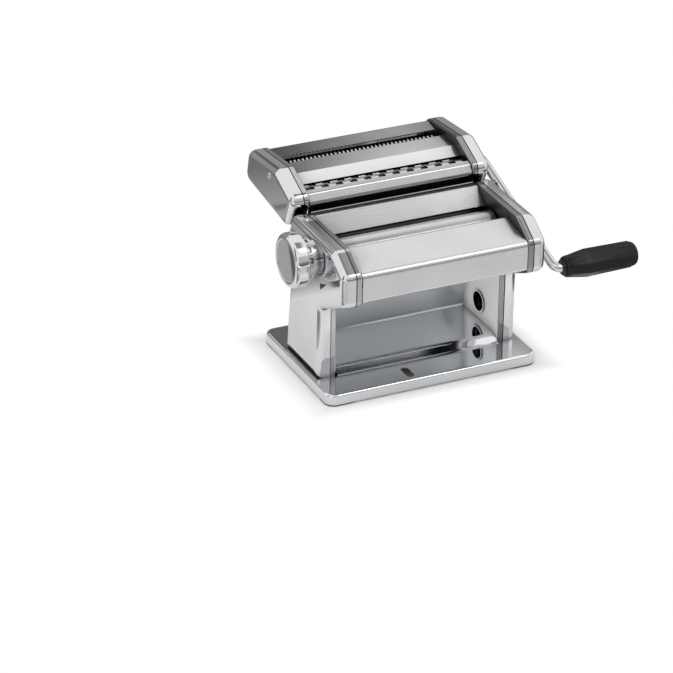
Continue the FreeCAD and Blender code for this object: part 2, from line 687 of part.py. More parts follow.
def housing_rods():
    """Rods between the inner plates, and studs that carry the outer shells."""
    places = [("front_rod_y", "front_rod_z"), ("top_rod_y", "top_rod_z"), ("rear_rod_y", "rear_rod_z")]
    group("tie_rods", [rod("-plate_inner", "plate_inner", y, z, "rod_radius") for y, z in places])
    spots = [("head_stud_y", "head_stud_z"), ("neck_stud_y", "neck_stud_z"), ("leg_stud_y", "leg_stud_z")]
    group("shell_studs", [side_rod(side, y, z, "stud_radius") for _, side in SIDES for y, z in spots])


def side_rod(side, y, z, radius):
    """A stud across one housing, from its inner plate to its outer shell."""
    ends = [out(side, "web_face"), out(side, "shell_inside")][::side]
    return rod(ends[0], ends[1], y, z, radius)


def head_sheets():
    """Front cover, dough chute and back panel between the inner plates."""
    front = "-(head_front - cover_setback - sheet)"
    bent_sheet("front_cover", [
        ("-cover_throat_y", "cover_throat_z"), ("-cover_crest_y", "cover_crest_z"),
        (front, "brow_height - cover_brow_drop"), (front, "chin_height + cover_chin_rise"),
        (f"{front} + cover_lip_back", "chin_height + cover_lip_rise")], "sheet_half", "sheet",
        ["crest_bend", "cover_bend", "bend"])
    top = "head_top - chute_top_drop"
    bent_sheet("dough_chute", [
        ("chute_low_y", "chute_low_z"), ("chute_top_y", top),
        ("dock_top - chute_end_gap", top)], "sheet_half", "sheet")
    bent_sheet("back_panel", [
        ("dock_top - panel_inset", top), ("dock_low - panel_inset", "dock_low_height"),
        ("waist - panel_inset", "waist_height"),
        ("leg_rear - panel_inset", "base_top + sheet_end_gap")],
        "sheet_half", "sheet")


def scraper_path(axis, way, length):
    """Blade path (y, z) from its tip under a roller, away from the nip, to its upright flange."""
    reach = "(roller_radius + blade_gap)"
    tip_y = f"{axis} + {way} * {reach} * sin(blade_angle * 1 deg)"
    tip_z = f"roller_height - {reach} * cos(blade_angle * 1 deg)"
    heel_y = f"{tip_y} + {way} * {length} * cos(blade_tilt * 1 deg)"
    heel_z = f"{tip_z} - {way} * {length} * sin(blade_tilt * 1 deg)"
    return [(tip_y, tip_z), (heel_y, heel_z), (heel_y, f"{heel_z} + blade_flange")]


def scrapers():
    """Blades that keep the dough off the rollers."""
    front = scraper_path("front_axis", -1, "blade_length")
    bent_sheet("front_scraper", front[::-1], "roller_length / 2", "blade", ["blade_bend"])
    rear = scraper_path("rear_axis", 1, "rear_blade_length")
    bent_sheet("rear_scraper", rear, "plate_inner", "blade", ["blade_bend"])


# Sheeting rollers

def bush(side, y, z):
    """A flanged bush in an inner plate."""
    bore = "journal_radius + journal_run"
    points = [("plate_inner", bore), ("plate_inner", "bush_radius"), ("web_face", "bush_radius"),
              ("web_face", "bush_flange"), ("web_face + bush_lip", "bush_flange"),
              ("web_face + bush_lip", bore)]
    return turned("bush", [(out(side, x), radius) for x, radius in points], y, z)


def roller_profile(left, right, face, half_length, socket):
    """Half section of a roller with journals and, where it is driven, a crank socket."""
    points = [(f"-({left})", "0"), (f"-({left})", "journal_radius"), (f"-({half_length})", "journal_radius"),
              (f"-({half_length})", face), (half_length, face), (half_length, "journal_radius"),
              (right, "journal_radius")]
    if socket:
        return points + [(right, "socket_radius"), (f"{right} - socket_depth", "socket_radius"),
                         (f"{right} - socket_depth", "0")]
    return points + [(right, "0")]


PLAIN_END = "web_face + bush_lip + journal_spare"
GEAR_END = "gear_end + journal_spare / 2"


def rollers():
    """The two smooth rollers, their bushes and their gears."""
    half = "roller_length / 2"
    rear = turned("rear_roller", roller_profile(PLAIN_END, "journal_end", "roller_radius", half, True),
                  "rear_axis", "roller_height")
    keep(rear, "rear_roller")
    front = turned("front_roller", roller_profile("block_end", GEAR_END, "roller_radius", half, False),
                   "front_axis", "roller_height")
    keep(front, "front_roller")
    group("roller_bushes", [bush(side, "rear_axis", "roller_height") for _, side in SIDES])
    for label, axis, phase in (("rear_gear", "rear_axis", 0), ("front_gear", "front_axis", 0.5)):
        gear(label, "gear_start", axis, "roller_height", "gear_teeth", "gear_tip", "gear_root",
             "gear_tip_half", "gear_root_half", "journal_radius + press_gap", phase)


def carriage():
    """Sliding blocks that carry the front roller, the bar that joins them, and their guides."""
    front, rear = "front_axis - block_front", "front_axis + block_rear"
    low, high = "roller_height - block_half", "roller_height + block_half"
    guides = []
    for name, side in SIDES:
        body = add("PartDesign::Body", f"{name}_bearing_block")
        sketch = new_sketch(body, "YZ_Plane", out(side, "block_start"))
        draw_lines(sketch, [(front, low), (rear, low), (rear, high), (front, high)])
        pad(body, sketch, "block_width", reverse=side < 0)
        drill(body, "YZ_Plane", [("front_axis", "roller_height", "journal_radius + journal_run"),
                                 ("bar_y", "bar_z", "carriage_bar_radius + press_gap")])
        if side < 0:
            follower = new_sketch(body, "YZ_Plane", out(side, "block_end"))
            draw_circle(follower, "dial_y + scroll_start", "dial_height", "follower_radius")
            pad(body, follower, "follower_reach", reverse=True)
        keep(body, f"{name}_bearing_block")
        ends = [out(side, "web_face"), out(side, "block_end")][::side]
        for start in ("block_half + guide_gap", "-(block_half + guide_gap + guide_width)"):
            foot = f"roller_height + {start}"
            guides.append(block((ends[0], "front_axis - guide_front", foot),
                                (ends[1], "front_axis + guide_rear", f"{foot} + guide_width")))
    keep(rod("-(block_end)", "block_end", "bar_y", "bar_z", "carriage_bar_radius"), "carriage_bar")
    group("carriage_guides", guides)


# Gap adjuster

def scroll_groove():
    """Spiral groove that moves the follower evenly as the dial turns."""
    rate = value("gap_travel") / math.radians(value("dial_turn"))
    half = value("follower_radius + follower_gap")
    margin = math.radians(value("scroll_margin"))
    sweep = math.radians(value("dial_turn")) + 2 * margin
    arcs = 8

    def spot(share, shift):
        turn = margin - sweep * share
        radius = value("scroll_start") - rate * turn + shift
        return Vector(0, radius * math.cos(turn), radius * math.sin(turn))

    def spiral(shift):
        steps = [step / (2 * arcs) for step in range(2 * arcs + 1)]
        points = [spot(share, shift) for share in steps]
        return [Part.Arc(*points[start:start + 3]).toShape() for start in range(0, 2 * arcs, 2)]
    inner, outer = spiral(-half), spiral(half)
    closing = [Part.makeLine(spot(share, -half), spot(share, half)) for share in (0, 1)]
    face = Part.Face(Part.Wire(Part.__sortEdges__(inner + outer + closing)))
    item = add("Part::Feature", "groove")
    item.Shape = face.extrude(Vector(-value("scroll_width - scroll_floor"), 0, 0))
    middle = Vector(-value("scroll_inner"), value("dial_y"), value("dial_height"))
    item.Placement = Placement(middle, Rotation())
    return item


def adjuster():
    """Collar, scroll shaft, knob, dial ring, spring and retainer on the left side."""
    def on_dial(label, points):
        return turned(label, [(f"-({x})", radius) for x, radius in points], "dial_y", "dial_height")
    bore = "shaft_radius + journal_run"
    sleeve = "shell_inside - collar_tail"
    keep(on_dial("dial_collar", [
        (sleeve, bore), (sleeve, "collar_sleeve"), ("shell_face", "collar_sleeve"),
        ("shell_face", "collar_radius"), ("collar_face", "collar_radius"), ("collar_face", bore)]),
        "dial_collar")
    shaft = on_dial("scroll_shaft", [
        ("scroll_inner", "0"), ("scroll_inner", "scroll_radius"), ("scroll_outer", "scroll_radius"),
        ("scroll_outer", "shaft_radius"), ("shaft_end", "shaft_radius"), ("shaft_end", "0")])
    keep(cut(shaft, scroll_groove()), "adjuster_shaft")
    knob = on_dial("adjuster_knob", [
        ("hub_start", "shaft_radius + journal_run"), ("hub_start", "hub_radius"), ("cap_start", "hub_radius"),
        ("cap_start", "cap_radius"), ("cap_end", "cap_radius"), ("cap_end", "cap_face"),
        ("cap_end - cap_recess", "cap_face - cap_recess"), ("cap_end - cap_recess", "0"),
        ("cavity_end", "0"), ("cavity_end", "spring_bore"), ("cavity_start", "spring_bore"),
        ("cavity_start", "shaft_radius + journal_run")])
    for level, radius in (("cap_end", "cap_edge"), ("cap_start", "cap_back_edge")):
        round_edges(knob, ring_edges(knob.Tip.Shape, -value(level), value("cap_radius")), radius)
    keep(knob, "adjuster_knob")
    keep(on_dial("dial_ring", [
        ("hub_start", "hub_radius + press_gap"), ("hub_start", "ring_radius"), ("cap_start", "ring_radius"),
        ("cap_start", "hub_radius + press_gap")]), "dial_ring")
    washer_end = "shaft_end + retainer_width"
    keep(on_dial("knob_retainer", [
        ("shaft_end", "0"), ("shaft_end", "retainer_radius"), (washer_end, "retainer_radius"),
        (washer_end, "retainer_head_radius"), ("retainer_end", "retainer_head_radius"),
        ("retainer_end", "0")]), "knob_retainer")
    knob_spring()


def knob_spring():
    """Coil spring between the knob's floor and the retainer, which pulls the knob home."""
    margin = "(spring_gap + spring_wire)"
    height = f"(shaft_end - cavity_start - 2 * {margin})"
    helix = add("Part::Helix", "helix")
    bind(helix, Radius="spring_radius", Height=height, Pitch=f"{height} / spring_turns")
    wire = add("Part::Circle", "wire")
    wire.Placement = Placement(Vector(), Rotation(Vector(1, 0, 0), 90))
    bind(wire, Radius="spring_wire", Placement__Base__x="spring_radius")
    doc.recompute()
    coil = add("Part::Sweep", "knob_spring")
    coil.Sections = [wire]
    coil.Spine = (helix, [f"Edge{number}" for number in range(1, len(helix.Shape.Edges) + 1)])
    coil.Solid = True
    coil.Frenet = True
    coil.Placement = Placement(Vector(), Rotation(Vector(0, 1, 0), -90))
    bind(coil, Placement__Base__x=f"-(cavity_start + {margin})", Placement__Base__y="dial_y",
         Placement__Base__z="dial_height")
    keep(coil, "knob_spring")


# Cutter head

def cutter_outline():
    """Side view of the cutter head: points (y, z) from its front top round the back."""
    return [dock("cutter_front_high", "cutter_gap"), ("cutter_nose_y", "cutter_nose_z"),
            ("cutter_brow_y", "cutter_top_z"), ("cutter_rear_top_y", "cutter_rear_top_z"),
            ("cutter_rear_y", "cutter_rear_z"), ("cutter_heel_y", "cutter_heel_z"),
            ("cutter_keel_y", "cutter_keel_z"), dock("cutter_front_low", "cutter_gap")]


def cutter_housing():
    """End caps and inner plates of the cutter head, with the tongues that dock it."""
    spots = cutter_outline()
    corners = [(spots[:3] + spots[4:], "cutter_radius"), (spots[3:4], "cutter_rear_radius")]
    axes = [("wide_front_y", "cutter_height"), ("wide_rear_y", "cutter_height"),
            ("fine_front_y", "fine_height"), ("fine_rear_y", "fine_height")]
    tongues = []
    for name, side in SIDES:
        cap = drawn_cup(f"cutter_{name}_cap", "YZ_Plane", out(side, "seam"), "shell_depth", side,
                        spots, corners, "side_wall", "shell_edge")
        holes = [("cap_stud_y", "cap_stud_z", "cap_screw_shank + screw_gap")]
        if side > 0:
            socket = "journal_radius + cap_hole_gap"
            holes += [(y, z, socket) for y, z in (axes[1], axes[3])]
        drill(cap, "YZ_Plane", holes)
        keep(cap, f"cutter_{name}_cap")
        plate = drawn_cup(f"cutter_{name}_plate", "YZ_Plane", out(side, "plate_open"), "plate_depth", -side,
                          spots, corners, "side_wall", "plate_edge")
        drill(plate, "YZ_Plane", [(y, z, "cutter_bush_radius + press_gap") for y, z in axes])
        low, high = "tongue_low - tongue_gap", "tongue_high + tongue_gap"
        near, far = "0", "cutter_gap + 2 * side_wall"
        notch = new_sketch(plate, "YZ_Plane", out(side, "web_face"))
        draw_lines(notch, [dock(low, near), dock(high, near), dock(high, far), dock(low, far)])
        pocket(plate, notch, "2 * plate_depth", reverse=side > 0)
        keep(plate, f"cutter_{name}_plate")
        tongue = add("PartDesign::Body", "tongue")
        deep, root = "-tongue_depth", "tongue_root"
        sketch = new_sketch(tongue, "YZ_Plane", out(side, "web_face + tongue_gap"))
        draw_lines(sketch, [dock("tongue_low", deep), dock("tongue_high", deep),
                            dock("tongue_high", root), dock("tongue_low", root)])
        pad(tongue, sketch, "tongue_width", reverse=side < 0)
        tongues.append(tongue)
    group("dock_tongues", tongues)
    group("cutter_bushes", [bush(side, y, z) for _, side in SIDES for y, z in axes])


def cutter_sheets():
    """Front cover, roof between the two feed slots, and rear hood."""
    slope = "cutter_gap + sheet"
    bent_sheet("cutter_front_cover", [
        ("lip_y", "lip_z"), ("nose_y", "nose_z"), dock("front_slope_high", slope),
        dock("front_slope_low", slope)], "sheet_half", "sheet")
    bent_sheet("cutter_roof", [
        ("roof_front_y", "roof_front_z"), ("roof_ridge_y", "roof_ridge_z"),
        ("roof_rear_y", "roof_rear_z")], "sheet_half", "sheet")
    bent_sheet("cutter_rear_cover", [
        ("hood_front_y", "hood_front_z"), ("hood_top_y", "hood_top_z"), ("hood_rear_y", "hood_rear_z"),
        ("hood_heel_y", "hood_heel_z")], "sheet_half", "sheet")


def cutter_rods():
    """Rods between the plates, studs that carry the caps, and the cap screws."""
    places = [("mid_rod_y", "mid_rod_z"), ("back_rod_y", "back_rod_z")]
    bars = [rod("-plate_inner", "plate_inner", y, z, "cutter_rod_radius") for y, z in places]
    group("cutter_tie_rods", bars)
    spots = [("back_stud_y", "back_stud_z"), ("keel_stud_y", "keel_stud_z")]
    studs = [side_rod(side, y, z, "cap_stud_radius") for _, side in SIDES for y, z in spots]
    screws = []
    for _, side in SIDES:
        solid = side_rod(side, "cap_stud_y", "cap_stud_z", "cap_stud_radius")
        hole = side_rod(side, "cap_stud_y", "cap_stud_z", "cap_screw_shank + journal_run")
        studs.append(cut(solid, hole))
        top = "shell_face + cap_screw_height"
        end = "(web_face + shell_inside) / 2"
        points = [(end, "0"), (end, "cap_screw_shank"), ("shell_face", "cap_screw_shank"),
                  ("shell_face", "cap_screw_radius"), (top, "cap_screw_radius - cap_screw_height / 2"),
                  (top, "0")]
        screws.append(turned("screw", [(out(side, x), radius) for x, radius in points],
                             "cap_stud_y", "cap_stud_z"))
    group("cutter_studs", studs)
    group("cap_screws", screws)


def row_along_x(body, feature, period, count):
    """Repeat a feature evenly along X."""
    pattern = body.newObject("PartDesign::LinearPattern", "row")
    pattern.Originals = [feature]
    pattern.Direction = ([item for item in body.Origin.OriginFeatures if item.Role == "X_Axis"][0], [""])
    bind(pattern, Length=f"({count} - 1) * ({period})", Occurrences=count)
    body.Tip = pattern
    doc.recompute()
    return pattern


def cutter_roller(label, y, z, strip, count, shift, left, right, socket):
    """A cutting roller: discs one strip wide on a core, shifted to mesh with its mate."""
    profile = roller_profile(left, right, "cutter_root", "cutter_core", socket)
    body = turned(label, profile, y, z)
    period = f"2 * {strip}"
    start = f"{shift} * {strip} / 2 - ({count} - 1) / 2 * {period} - ({strip} - strip_gap) / 2"
    sketch = new_sketch(body, "YZ_Plane", start)
    draw_circle(sketch, "0", "0", "cutter_disc")
    disc = pad(body, sketch, f"{strip} - strip_gap")
    row_along_x(body, disc, period, count)
    keep(body, label)


def comb(label, y, z, way, strip, count, shift):
    """A stripper comb whose fingers stand in the grooves of one cutting roller."""
    body = add("PartDesign::Body", label)
    middle = f"{y} + {way} * comb_offset"
    foot = f"{z} - comb_foot_drop"
    top = f"{foot} + comb_bar"
    bar = new_sketch(body, "YZ_Plane", "-plate_inner")
    half = "comb_bar / 2"
    draw_lines(bar, [(f"{middle} - {half}", foot), (f"{middle} + {half}", foot),
                     (f"{middle} + {half}", top), (f"{middle} - {half}", top)])
    pad(body, bar, "2 * plate_inner")
    period = f"2 * {strip}"
    width = f"{strip} - 2 * comb_gap"
    start = f"-{shift} * {strip} / 2 - ({count} - 1) / 2 * {period} - ({width}) / 2"
    tip = f"{z} - sqrt(pow(cutter_root + comb_gap; 2) - pow(comb_offset - comb_finger / 2; 2))"
    thick = "comb_finger / 2"
    finger = new_sketch(body, "YZ_Plane", start)
    draw_lines(finger, [(f"{middle} - {thick}", foot), (f"{middle} + {thick}", foot),
                        (f"{middle} + {thick}", tip), (f"{middle} - {thick}", tip)])
    row_along_x(body, pad(body, finger, width), period, count)
    keep(body, label)


def cutting_pairs():
    """Wide and fine pairs of cutting rollers, with their gears and combs."""
    for name, z, gear_side in (("wide", "cutter_height", -1), ("fine", "fine_height", 1)):
        strip, count = f"{name}_strip", f"{name}_count"
        front, rear = f"{name}_front_y", f"{name}_rear_y"
        left, right = (GEAR_END, PLAIN_END)[::-gear_side]
        cutter_roller(f"{name}_idler_roller", front, z, strip, count, 1, left, right, False)
        cutter_roller(f"{name}_drive_roller", rear, z, strip, count, -1, left, "journal_end", True)
        comb(f"{name}_front_comb", front, z, -1, strip, count, 1)
        comb(f"{name}_rear_comb", rear, z, 1, strip, count, -1)
        start = "gear_start" if gear_side > 0 else "-(gear_end)"
        for role, axis, phase in (("drive", rear, 0), ("idler", front, 0.5)):
            gear(f"{name}_{role}_gear", start, axis, z, "cutter_teeth", "cutter_gear_tip",
                 "cutter_gear_root", "cutter_tip_half", "cutter_root_half",
                 "journal_radius + press_gap", phase)


# Crank

def rounded_path(points, radius):
    """Straight runs through points, joined by tangent arcs of one radius."""
    edges = []
    start = points[0]
    for before, corner, after in zip(points, points[1:], points[2:]):
        back = (before - corner).normalize()
        ahead = (after - corner).normalize()
        half = back.getAngle(ahead) / 2
        first = corner + back * (radius / math.tan(half))
        last = corner + ahead * (radius / math.tan(half))
        inward = (back + ahead).normalize()
        middle = corner + inward * (radius / math.sin(half) - radius)
        edges.append(Part.makeLine(start, first))
        edges.append(Part.Arc(first, middle, last).toShape())
        start = last
    edges.append(Part.makeLine(start, points[-1]))
    return Part.Wire(edges)


def crank():
    """Bent crank rod, plugged into the wide cutting pair, with its turning grip."""
    shoulder = value("journal_end + crank_shoulder")
    elbow = Vector(value("crank_elbow"), 0, 0)
    wrist = elbow + Vector(value("crank_flare"), value("crank_throw"), 0)
    end = Vector(value("grip_start + grip_length - grip_wall"), wrist.y, 0)
    path = rounded_path([Vector(shoulder, 0, 0), elbow, wrist, end], value("crank_bend"))
    along = Vector(1, 0, 0)
    section = Part.Wire(Part.makeCircle(value("crank_radius"), path.Vertexes[0].Point, along))
    bar = path.makePipeShell([section], True, True)
    tip_start = value("journal_end - socket_depth + crank_tip_end")
    tip = Part.makeCylinder(value("crank_tip"), shoulder - tip_start, Vector(tip_start, 0, 0), along)
    item = add("Part::Feature", "crank_rod")
    item.Shape = bar.fuse(tip)
    turn = Rotation(along, 180 + value("crank_slope"))
    item.Placement = Placement(Vector(0, value("wide_rear_y"), value("cutter_height")), turn)
    keep(item, "crank_rod")
    grip_y = "wide_rear_y - crank_throw * cos(crank_slope * 1 deg)"
    grip_z = "cutter_height - crank_throw * sin(crank_slope * 1 deg)"
    bore = "crank_radius + grip_run"
    far = "grip_start + grip_length"
    bore_end = f"{far} - grip_wall + washer_gap"
    swell = "grip_start + grip_taper"
    grip = turned("crank_grip", [
        ("grip_start", bore), ("grip_start", "grip_neck"), (swell, "grip_swell"), (far, "grip_tail"),
        (far, "0"), (bore_end, "0"), (bore_end, bore)], grip_y, grip_z)
    round_edges(grip, ring_edges(grip.Tip.Shape, value(far), value("grip_tail")), "grip_end")
    round_edges(grip, ring_edges(grip.Tip.Shape, value("grip_start"), value("grip_neck")), "grip_neck_edge")
    keep(grip, "crank_grip")
    near = "grip_start - washer_gap"
    back = f"{near} - washer_width"
    seat = "crank_radius + press_gap"
    keep(turned("grip_washer", [(back, seat), (back, "washer_radius"), (near, "washer_radius"), (near, seat)],
                grip_y, grip_z), "grip_washer")


def write_parts():
    """Check every object and write each finished sub-part."""
    doc.recompute()
    bad = [item.Label for item in doc.Objects if "Invalid" in item.State or "Error" in item.State]
    for item in finished:
        if item.Shape.isNull() or not item.Shape.isValid() or not item.Shape.Solids:
            bad.append(item.Label)
    if bad:
        raise RuntimeError(f"failed objects: {sorted(set(bad))}")
    os.makedirs("parts", exist_ok=True)
    for item in finished:
        item.Shape.exportStep(f"parts/{item.Label}.step")


def main():
    """Build the machine, piece by piece."""
    fill_sheet()
    base_pan()
    rubber_feet()
    base_fasteners()
    outer_shells()
    side_plates()
    housing_rods()
    head_sheets()
    scrapers()
    rollers()
    carriage()
    adjuster()
    cutter_housing()
    cutter_sheets()
    cutter_rods()
    cutting_pairs()
    crank()
    write_parts()


main()
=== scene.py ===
"""Looks of the pasta roller machine: materials, small pieces, light, floor and camera."""
import json
import math

import bmesh
import bpy
from mathutils import Matrix, Vector


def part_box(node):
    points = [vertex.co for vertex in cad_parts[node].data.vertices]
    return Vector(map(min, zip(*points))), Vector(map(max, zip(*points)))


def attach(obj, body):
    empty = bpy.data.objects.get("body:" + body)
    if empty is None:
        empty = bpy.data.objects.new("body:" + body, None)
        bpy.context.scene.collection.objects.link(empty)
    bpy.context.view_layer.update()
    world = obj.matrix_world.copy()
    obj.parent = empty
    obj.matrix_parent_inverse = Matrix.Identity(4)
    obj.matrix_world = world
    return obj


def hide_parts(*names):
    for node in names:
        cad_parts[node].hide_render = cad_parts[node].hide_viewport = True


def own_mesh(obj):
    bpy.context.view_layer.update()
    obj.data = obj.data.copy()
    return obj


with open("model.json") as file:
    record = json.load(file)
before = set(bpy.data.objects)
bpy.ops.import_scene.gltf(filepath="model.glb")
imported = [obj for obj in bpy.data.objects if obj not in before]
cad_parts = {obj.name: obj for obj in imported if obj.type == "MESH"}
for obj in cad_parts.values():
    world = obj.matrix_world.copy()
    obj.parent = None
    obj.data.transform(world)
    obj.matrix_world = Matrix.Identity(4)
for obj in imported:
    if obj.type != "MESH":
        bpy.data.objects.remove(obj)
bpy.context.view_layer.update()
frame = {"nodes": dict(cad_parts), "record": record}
nodes = frame["nodes"]
scene = bpy.context.scene
scene.view_settings.view_transform = "Standard"


# Nodes of the materials; their lengths are in metres

NOISE_LOW, NOISE_HIGH = 0.3, 0.7  # most of a noise lies between these
GAP_SAMPLES = 8


def math_node(tree, operation, first, second=0.0):
    """One arithmetic step; the second value may be a number."""
    node = tree.nodes.new("ShaderNodeMath")
    node.operation = operation
    tree.links.new(first, node.inputs[0])
    if isinstance(second, (int, float)):
        node.inputs[1].default_value = second
    else:
        tree.links.new(second, node.inputs[1])
    return node.outputs[0]


def spread(tree, value, low, high, start=NOISE_LOW, end=NOISE_HIGH):
    """A value that goes from low to high as another goes from start to end."""
    node = tree.nodes.new("ShaderNodeMapRange")
    node.inputs["From Min"].default_value = start
    node.inputs["From Max"].default_value = end
    node.inputs["To Min"].default_value = low
    node.inputs["To Max"].default_value = high
    tree.links.new(value, node.inputs["Value"])
    return node.outputs["Result"]


def rise(tree, value, start, end):
    """A share that goes from 0 to 1 as a value goes from start to end."""
    return spread(tree, value, 0.0, 1.0, start, end)


def fade(tree, share, low, high):
    """A value that goes from low to high as a share goes from 0 to 1."""
    return spread(tree, share, low, high, 0.0, 1.0)


def place(tree, stretch=(1, 1, 1)):
    """Coordinates in the machine's frame, stretched along each axis."""
    where = tree.nodes.new("ShaderNodeTexCoord")
    mapping = tree.nodes.new("ShaderNodeMapping")
    mapping.inputs["Scale"].default_value = stretch
    tree.links.new(where.outputs["Object"], mapping.inputs["Vector"])
    return mapping.outputs["Vector"]


def split(tree, vector):
    """The X, Y and Z values of a vector."""
    node = tree.nodes.new("ShaderNodeSeparateXYZ")
    tree.links.new(vector, node.inputs[0])
    return node.outputs


def surface(tree, output):
    """The X, Y and Z values of the surface's Position or Normal."""
    geometry = tree.nodes.new("ShaderNodeNewGeometry")
    return split(tree, geometry.outputs[output])


def noise(tree, vector, scale, detail, rough=0.5):
    """A noise value along a vector."""
    node = tree.nodes.new("ShaderNodeTexNoise")
    node.inputs["Scale"].default_value = scale
    node.inputs["Detail"].default_value = detail
    node.inputs["Roughness"].default_value = rough
    tree.links.new(vector, node.inputs["Vector"])
    return node.outputs["Fac"]


def ramp(tree, value, stops):
    """A colour along (position, colour) stops."""
    node = tree.nodes.new("ShaderNodeValToRGB")
    elements = node.color_ramp.elements
    while len(elements) < len(stops):
        elements.new(0.5)
    for element, (position, colour) in zip(elements, stops):
        element.position = position
        element.color = (*colour, 1)
    tree.links.new(value, node.inputs["Fac"])
    return node.outputs["Color"]


def tint(tree, value, dark, light):
    """A colour between two tints."""
    return ramp(tree, value, [(NOISE_LOW, dark), (NOISE_HIGH, light)])


def shaded(tree, colour, reach, power):
    """A colour with painted shade: it turns dark inside gaps narrower than the reach, by ambient
    occlusion.
    """
    gap = tree.nodes.new("ShaderNodeAmbientOcclusion")
    gap.samples = GAP_SAMPLES
    gap.inputs["Distance"].default_value = reach
    scale = tree.nodes.new("ShaderNodeVectorMath")
    scale.operation = "SCALE"
    tree.links.new(colour, scale.inputs[0])
    tree.links.new(math_node(tree, "POWER", gap.outputs["AO"], power), scale.inputs["Scale"])
    return scale.outputs[0]


def relief(tree, shader, layers):
    """Stack bump layers given as (height value, strength, distance)."""
    normal = None
    for height, strength, distance in layers:
        bump = tree.nodes.new("ShaderNodeBump")
        bump.inputs["Strength"].default_value = strength
        bump.inputs["Distance"].default_value = distance
        tree.links.new(height, bump.inputs["Height"])
        if normal is not None:
            tree.links.new(normal, bump.inputs["Normal"])
        normal = bump.outputs["Normal"]
    tree.links.new(normal, shader.inputs["Normal"])


def connect(tree, shader, **values):
    """Link values to sockets of a shader."""
    for socket, value in values.items():
        tree.links.new(value, shader.inputs[socket.replace("_", " ")])


def mix_shaders(tree, share, first, second, output):
    """End a tree in a mix of two shaders."""
    mix = tree.nodes.new("ShaderNodeMixShader")
    end = tree.nodes.new(output)
    tree.links.new(share, mix.inputs["Fac"])
    tree.links.new(first.outputs[0], mix.inputs[1])
    tree.links.new(second.outputs[0], mix.inputs[2])
    tree.links.new(mix.outputs[0], end.inputs["Surface"])


# Materials

def along(share):
    """A stretch that draws a noise out into lines along X."""
    return (share, 1, 1)


def around(share):
    """A stretch that draws a noise out into lines round X, as turning leaves them."""
    return (1, share, share)


def start_material(name, metallic):
    """A principled material, its tree and its shader."""
    material = bpy.data.materials.new(name)
    material.use_nodes = True
    tree = material.node_tree
    shader = tree.nodes["Principled BSDF"]
    shader.inputs["Metallic"].default_value = metallic
    return material, tree, shader


def polished(name, dark, light, rough, wave, power):
    """Plated sheet: slightly wavy, with faint smudges and hairlines."""
    material, tree, shader = start_material(name, 1.0)
    even = place(tree)
    hair = place(tree, (1, 1, 0.06))
    smudge = noise(tree, even, scale=38, detail=4, rough=0.6)
    colour = tint(tree, noise(tree, even, scale=11, detail=3), dark, light)
    # Painted shade in gaps.
    connect(tree, shader, Base_Color=shaded(tree, colour, reach=0.006, power=power),
            Roughness=spread(tree, smudge, *rough))
    relief(tree, shader, [
        (noise(tree, even, scale=14, detail=1), wave, 0.002),
        (noise(tree, hair, scale=2600, detail=2), 0.02, 0.0001)])
    return material


def brushed(name, dark, light, rough, stretch, depth, power):
    """Satin metal with fine lines along the direction that the stretch leaves long."""
    material, tree, shader = start_material(name, 1.0)
    lines = place(tree, stretch)
    even = place(tree)
    grain = noise(tree, lines, scale=4500, detail=2)
    colour = tint(tree, noise(tree, even, scale=18, detail=3), dark, light)
    # Painted shade in gaps.
    connect(tree, shader, Base_Color=shaded(tree, colour, reach=0.025, power=power),
            Roughness=spread(tree, grain, *rough))
    relief(tree, shader, [
        (grain, depth, 0.00006),
        (noise(tree, even, scale=9, detail=1), 0.02, 0.001)])
    return material


def moulded(name, dark, light, rough, grain_scale, depth, metallic=0.0, specular=0.5):
    """Rubber, plastic or print with a fine moulded grain."""
    material, tree, shader = start_material(name, metallic)
    shader.inputs["Specular IOR Level"].default_value = specular
    even = place(tree)
    grain = noise(tree, even, scale=grain_scale, detail=3, rough=0.6)
    connect(tree, shader,
            Base_Color=tint(tree, noise(tree, even, scale=60, detail=3), dark, light),
            Roughness=spread(tree, grain, *rough))
    relief(tree, shader, [(grain, depth, 0.0003)])
    return material


FOLD_FULL, FOLD_GONE = 0.0008, 0.0013  # heights over the base between which the painted highlight fades
FOLD_HIGHLIGHT_TINT = (0.95, 0.96, 0.97, 1)
FOLD_HIGHLIGHT_METALLIC = 0.1


def fold_line(material, height):
    """Paint a highlight on a sheet's front up to a height: near-white and barely metallic, it
    stands in for the light that its fold catches.
    """
    tree = material.node_tree
    shader = tree.nodes["Principled BSDF"]
    foot = spread(tree, split(tree, place(tree))["Z"], 1.0, 0.0,
                  height + FOLD_FULL, height + FOLD_GONE)
    front = spread(tree, surface(tree, "Normal")["Y"], 1.0, 0.0, -0.9, -0.5)
    # Painted highlight: a near-white, barely metallic band on the front at the foot.
    line = math_node(tree, "MULTIPLY", foot, front)
    mix = tree.nodes.new("ShaderNodeMixRGB")
    mix.inputs["Color2"].default_value = FOLD_HIGHLIGHT_TINT
    tree.links.new(line, mix.inputs["Fac"])
    tree.links.new(shader.inputs["Base Color"].links[0].from_socket, mix.inputs["Color1"])
    connect(tree, shader, Base_Color=mix.outputs["Color"],
            Metallic=fade(tree, line, 1.0, FOLD_HIGHLIGHT_METALLIC))


PLATE_DARK, PLATE_LIGHT = (0.11, 0.113, 0.118), (0.92, 0.93, 0.94)
WEB_FACING = (0.8, 0.95)  # a normal's share of X at the edge of the flat web
HEAD_HEIGHT = (0.088, 0.102)  # where the leg turns into the head
# Painted light: the left flange is lighter than the right.
FLANGE_LEFT_PAINTED_LIGHT, FLANGE_RIGHT_PAINTED_SHADE, FLANGE_X = 0.5, 0.4, 0.08
LEG_PAINTED_LIGHT, HEAD_PAINTED_SHADE = 0.3, 0.33  # painted light brightens the leg's web, painted shade darkens the head's web
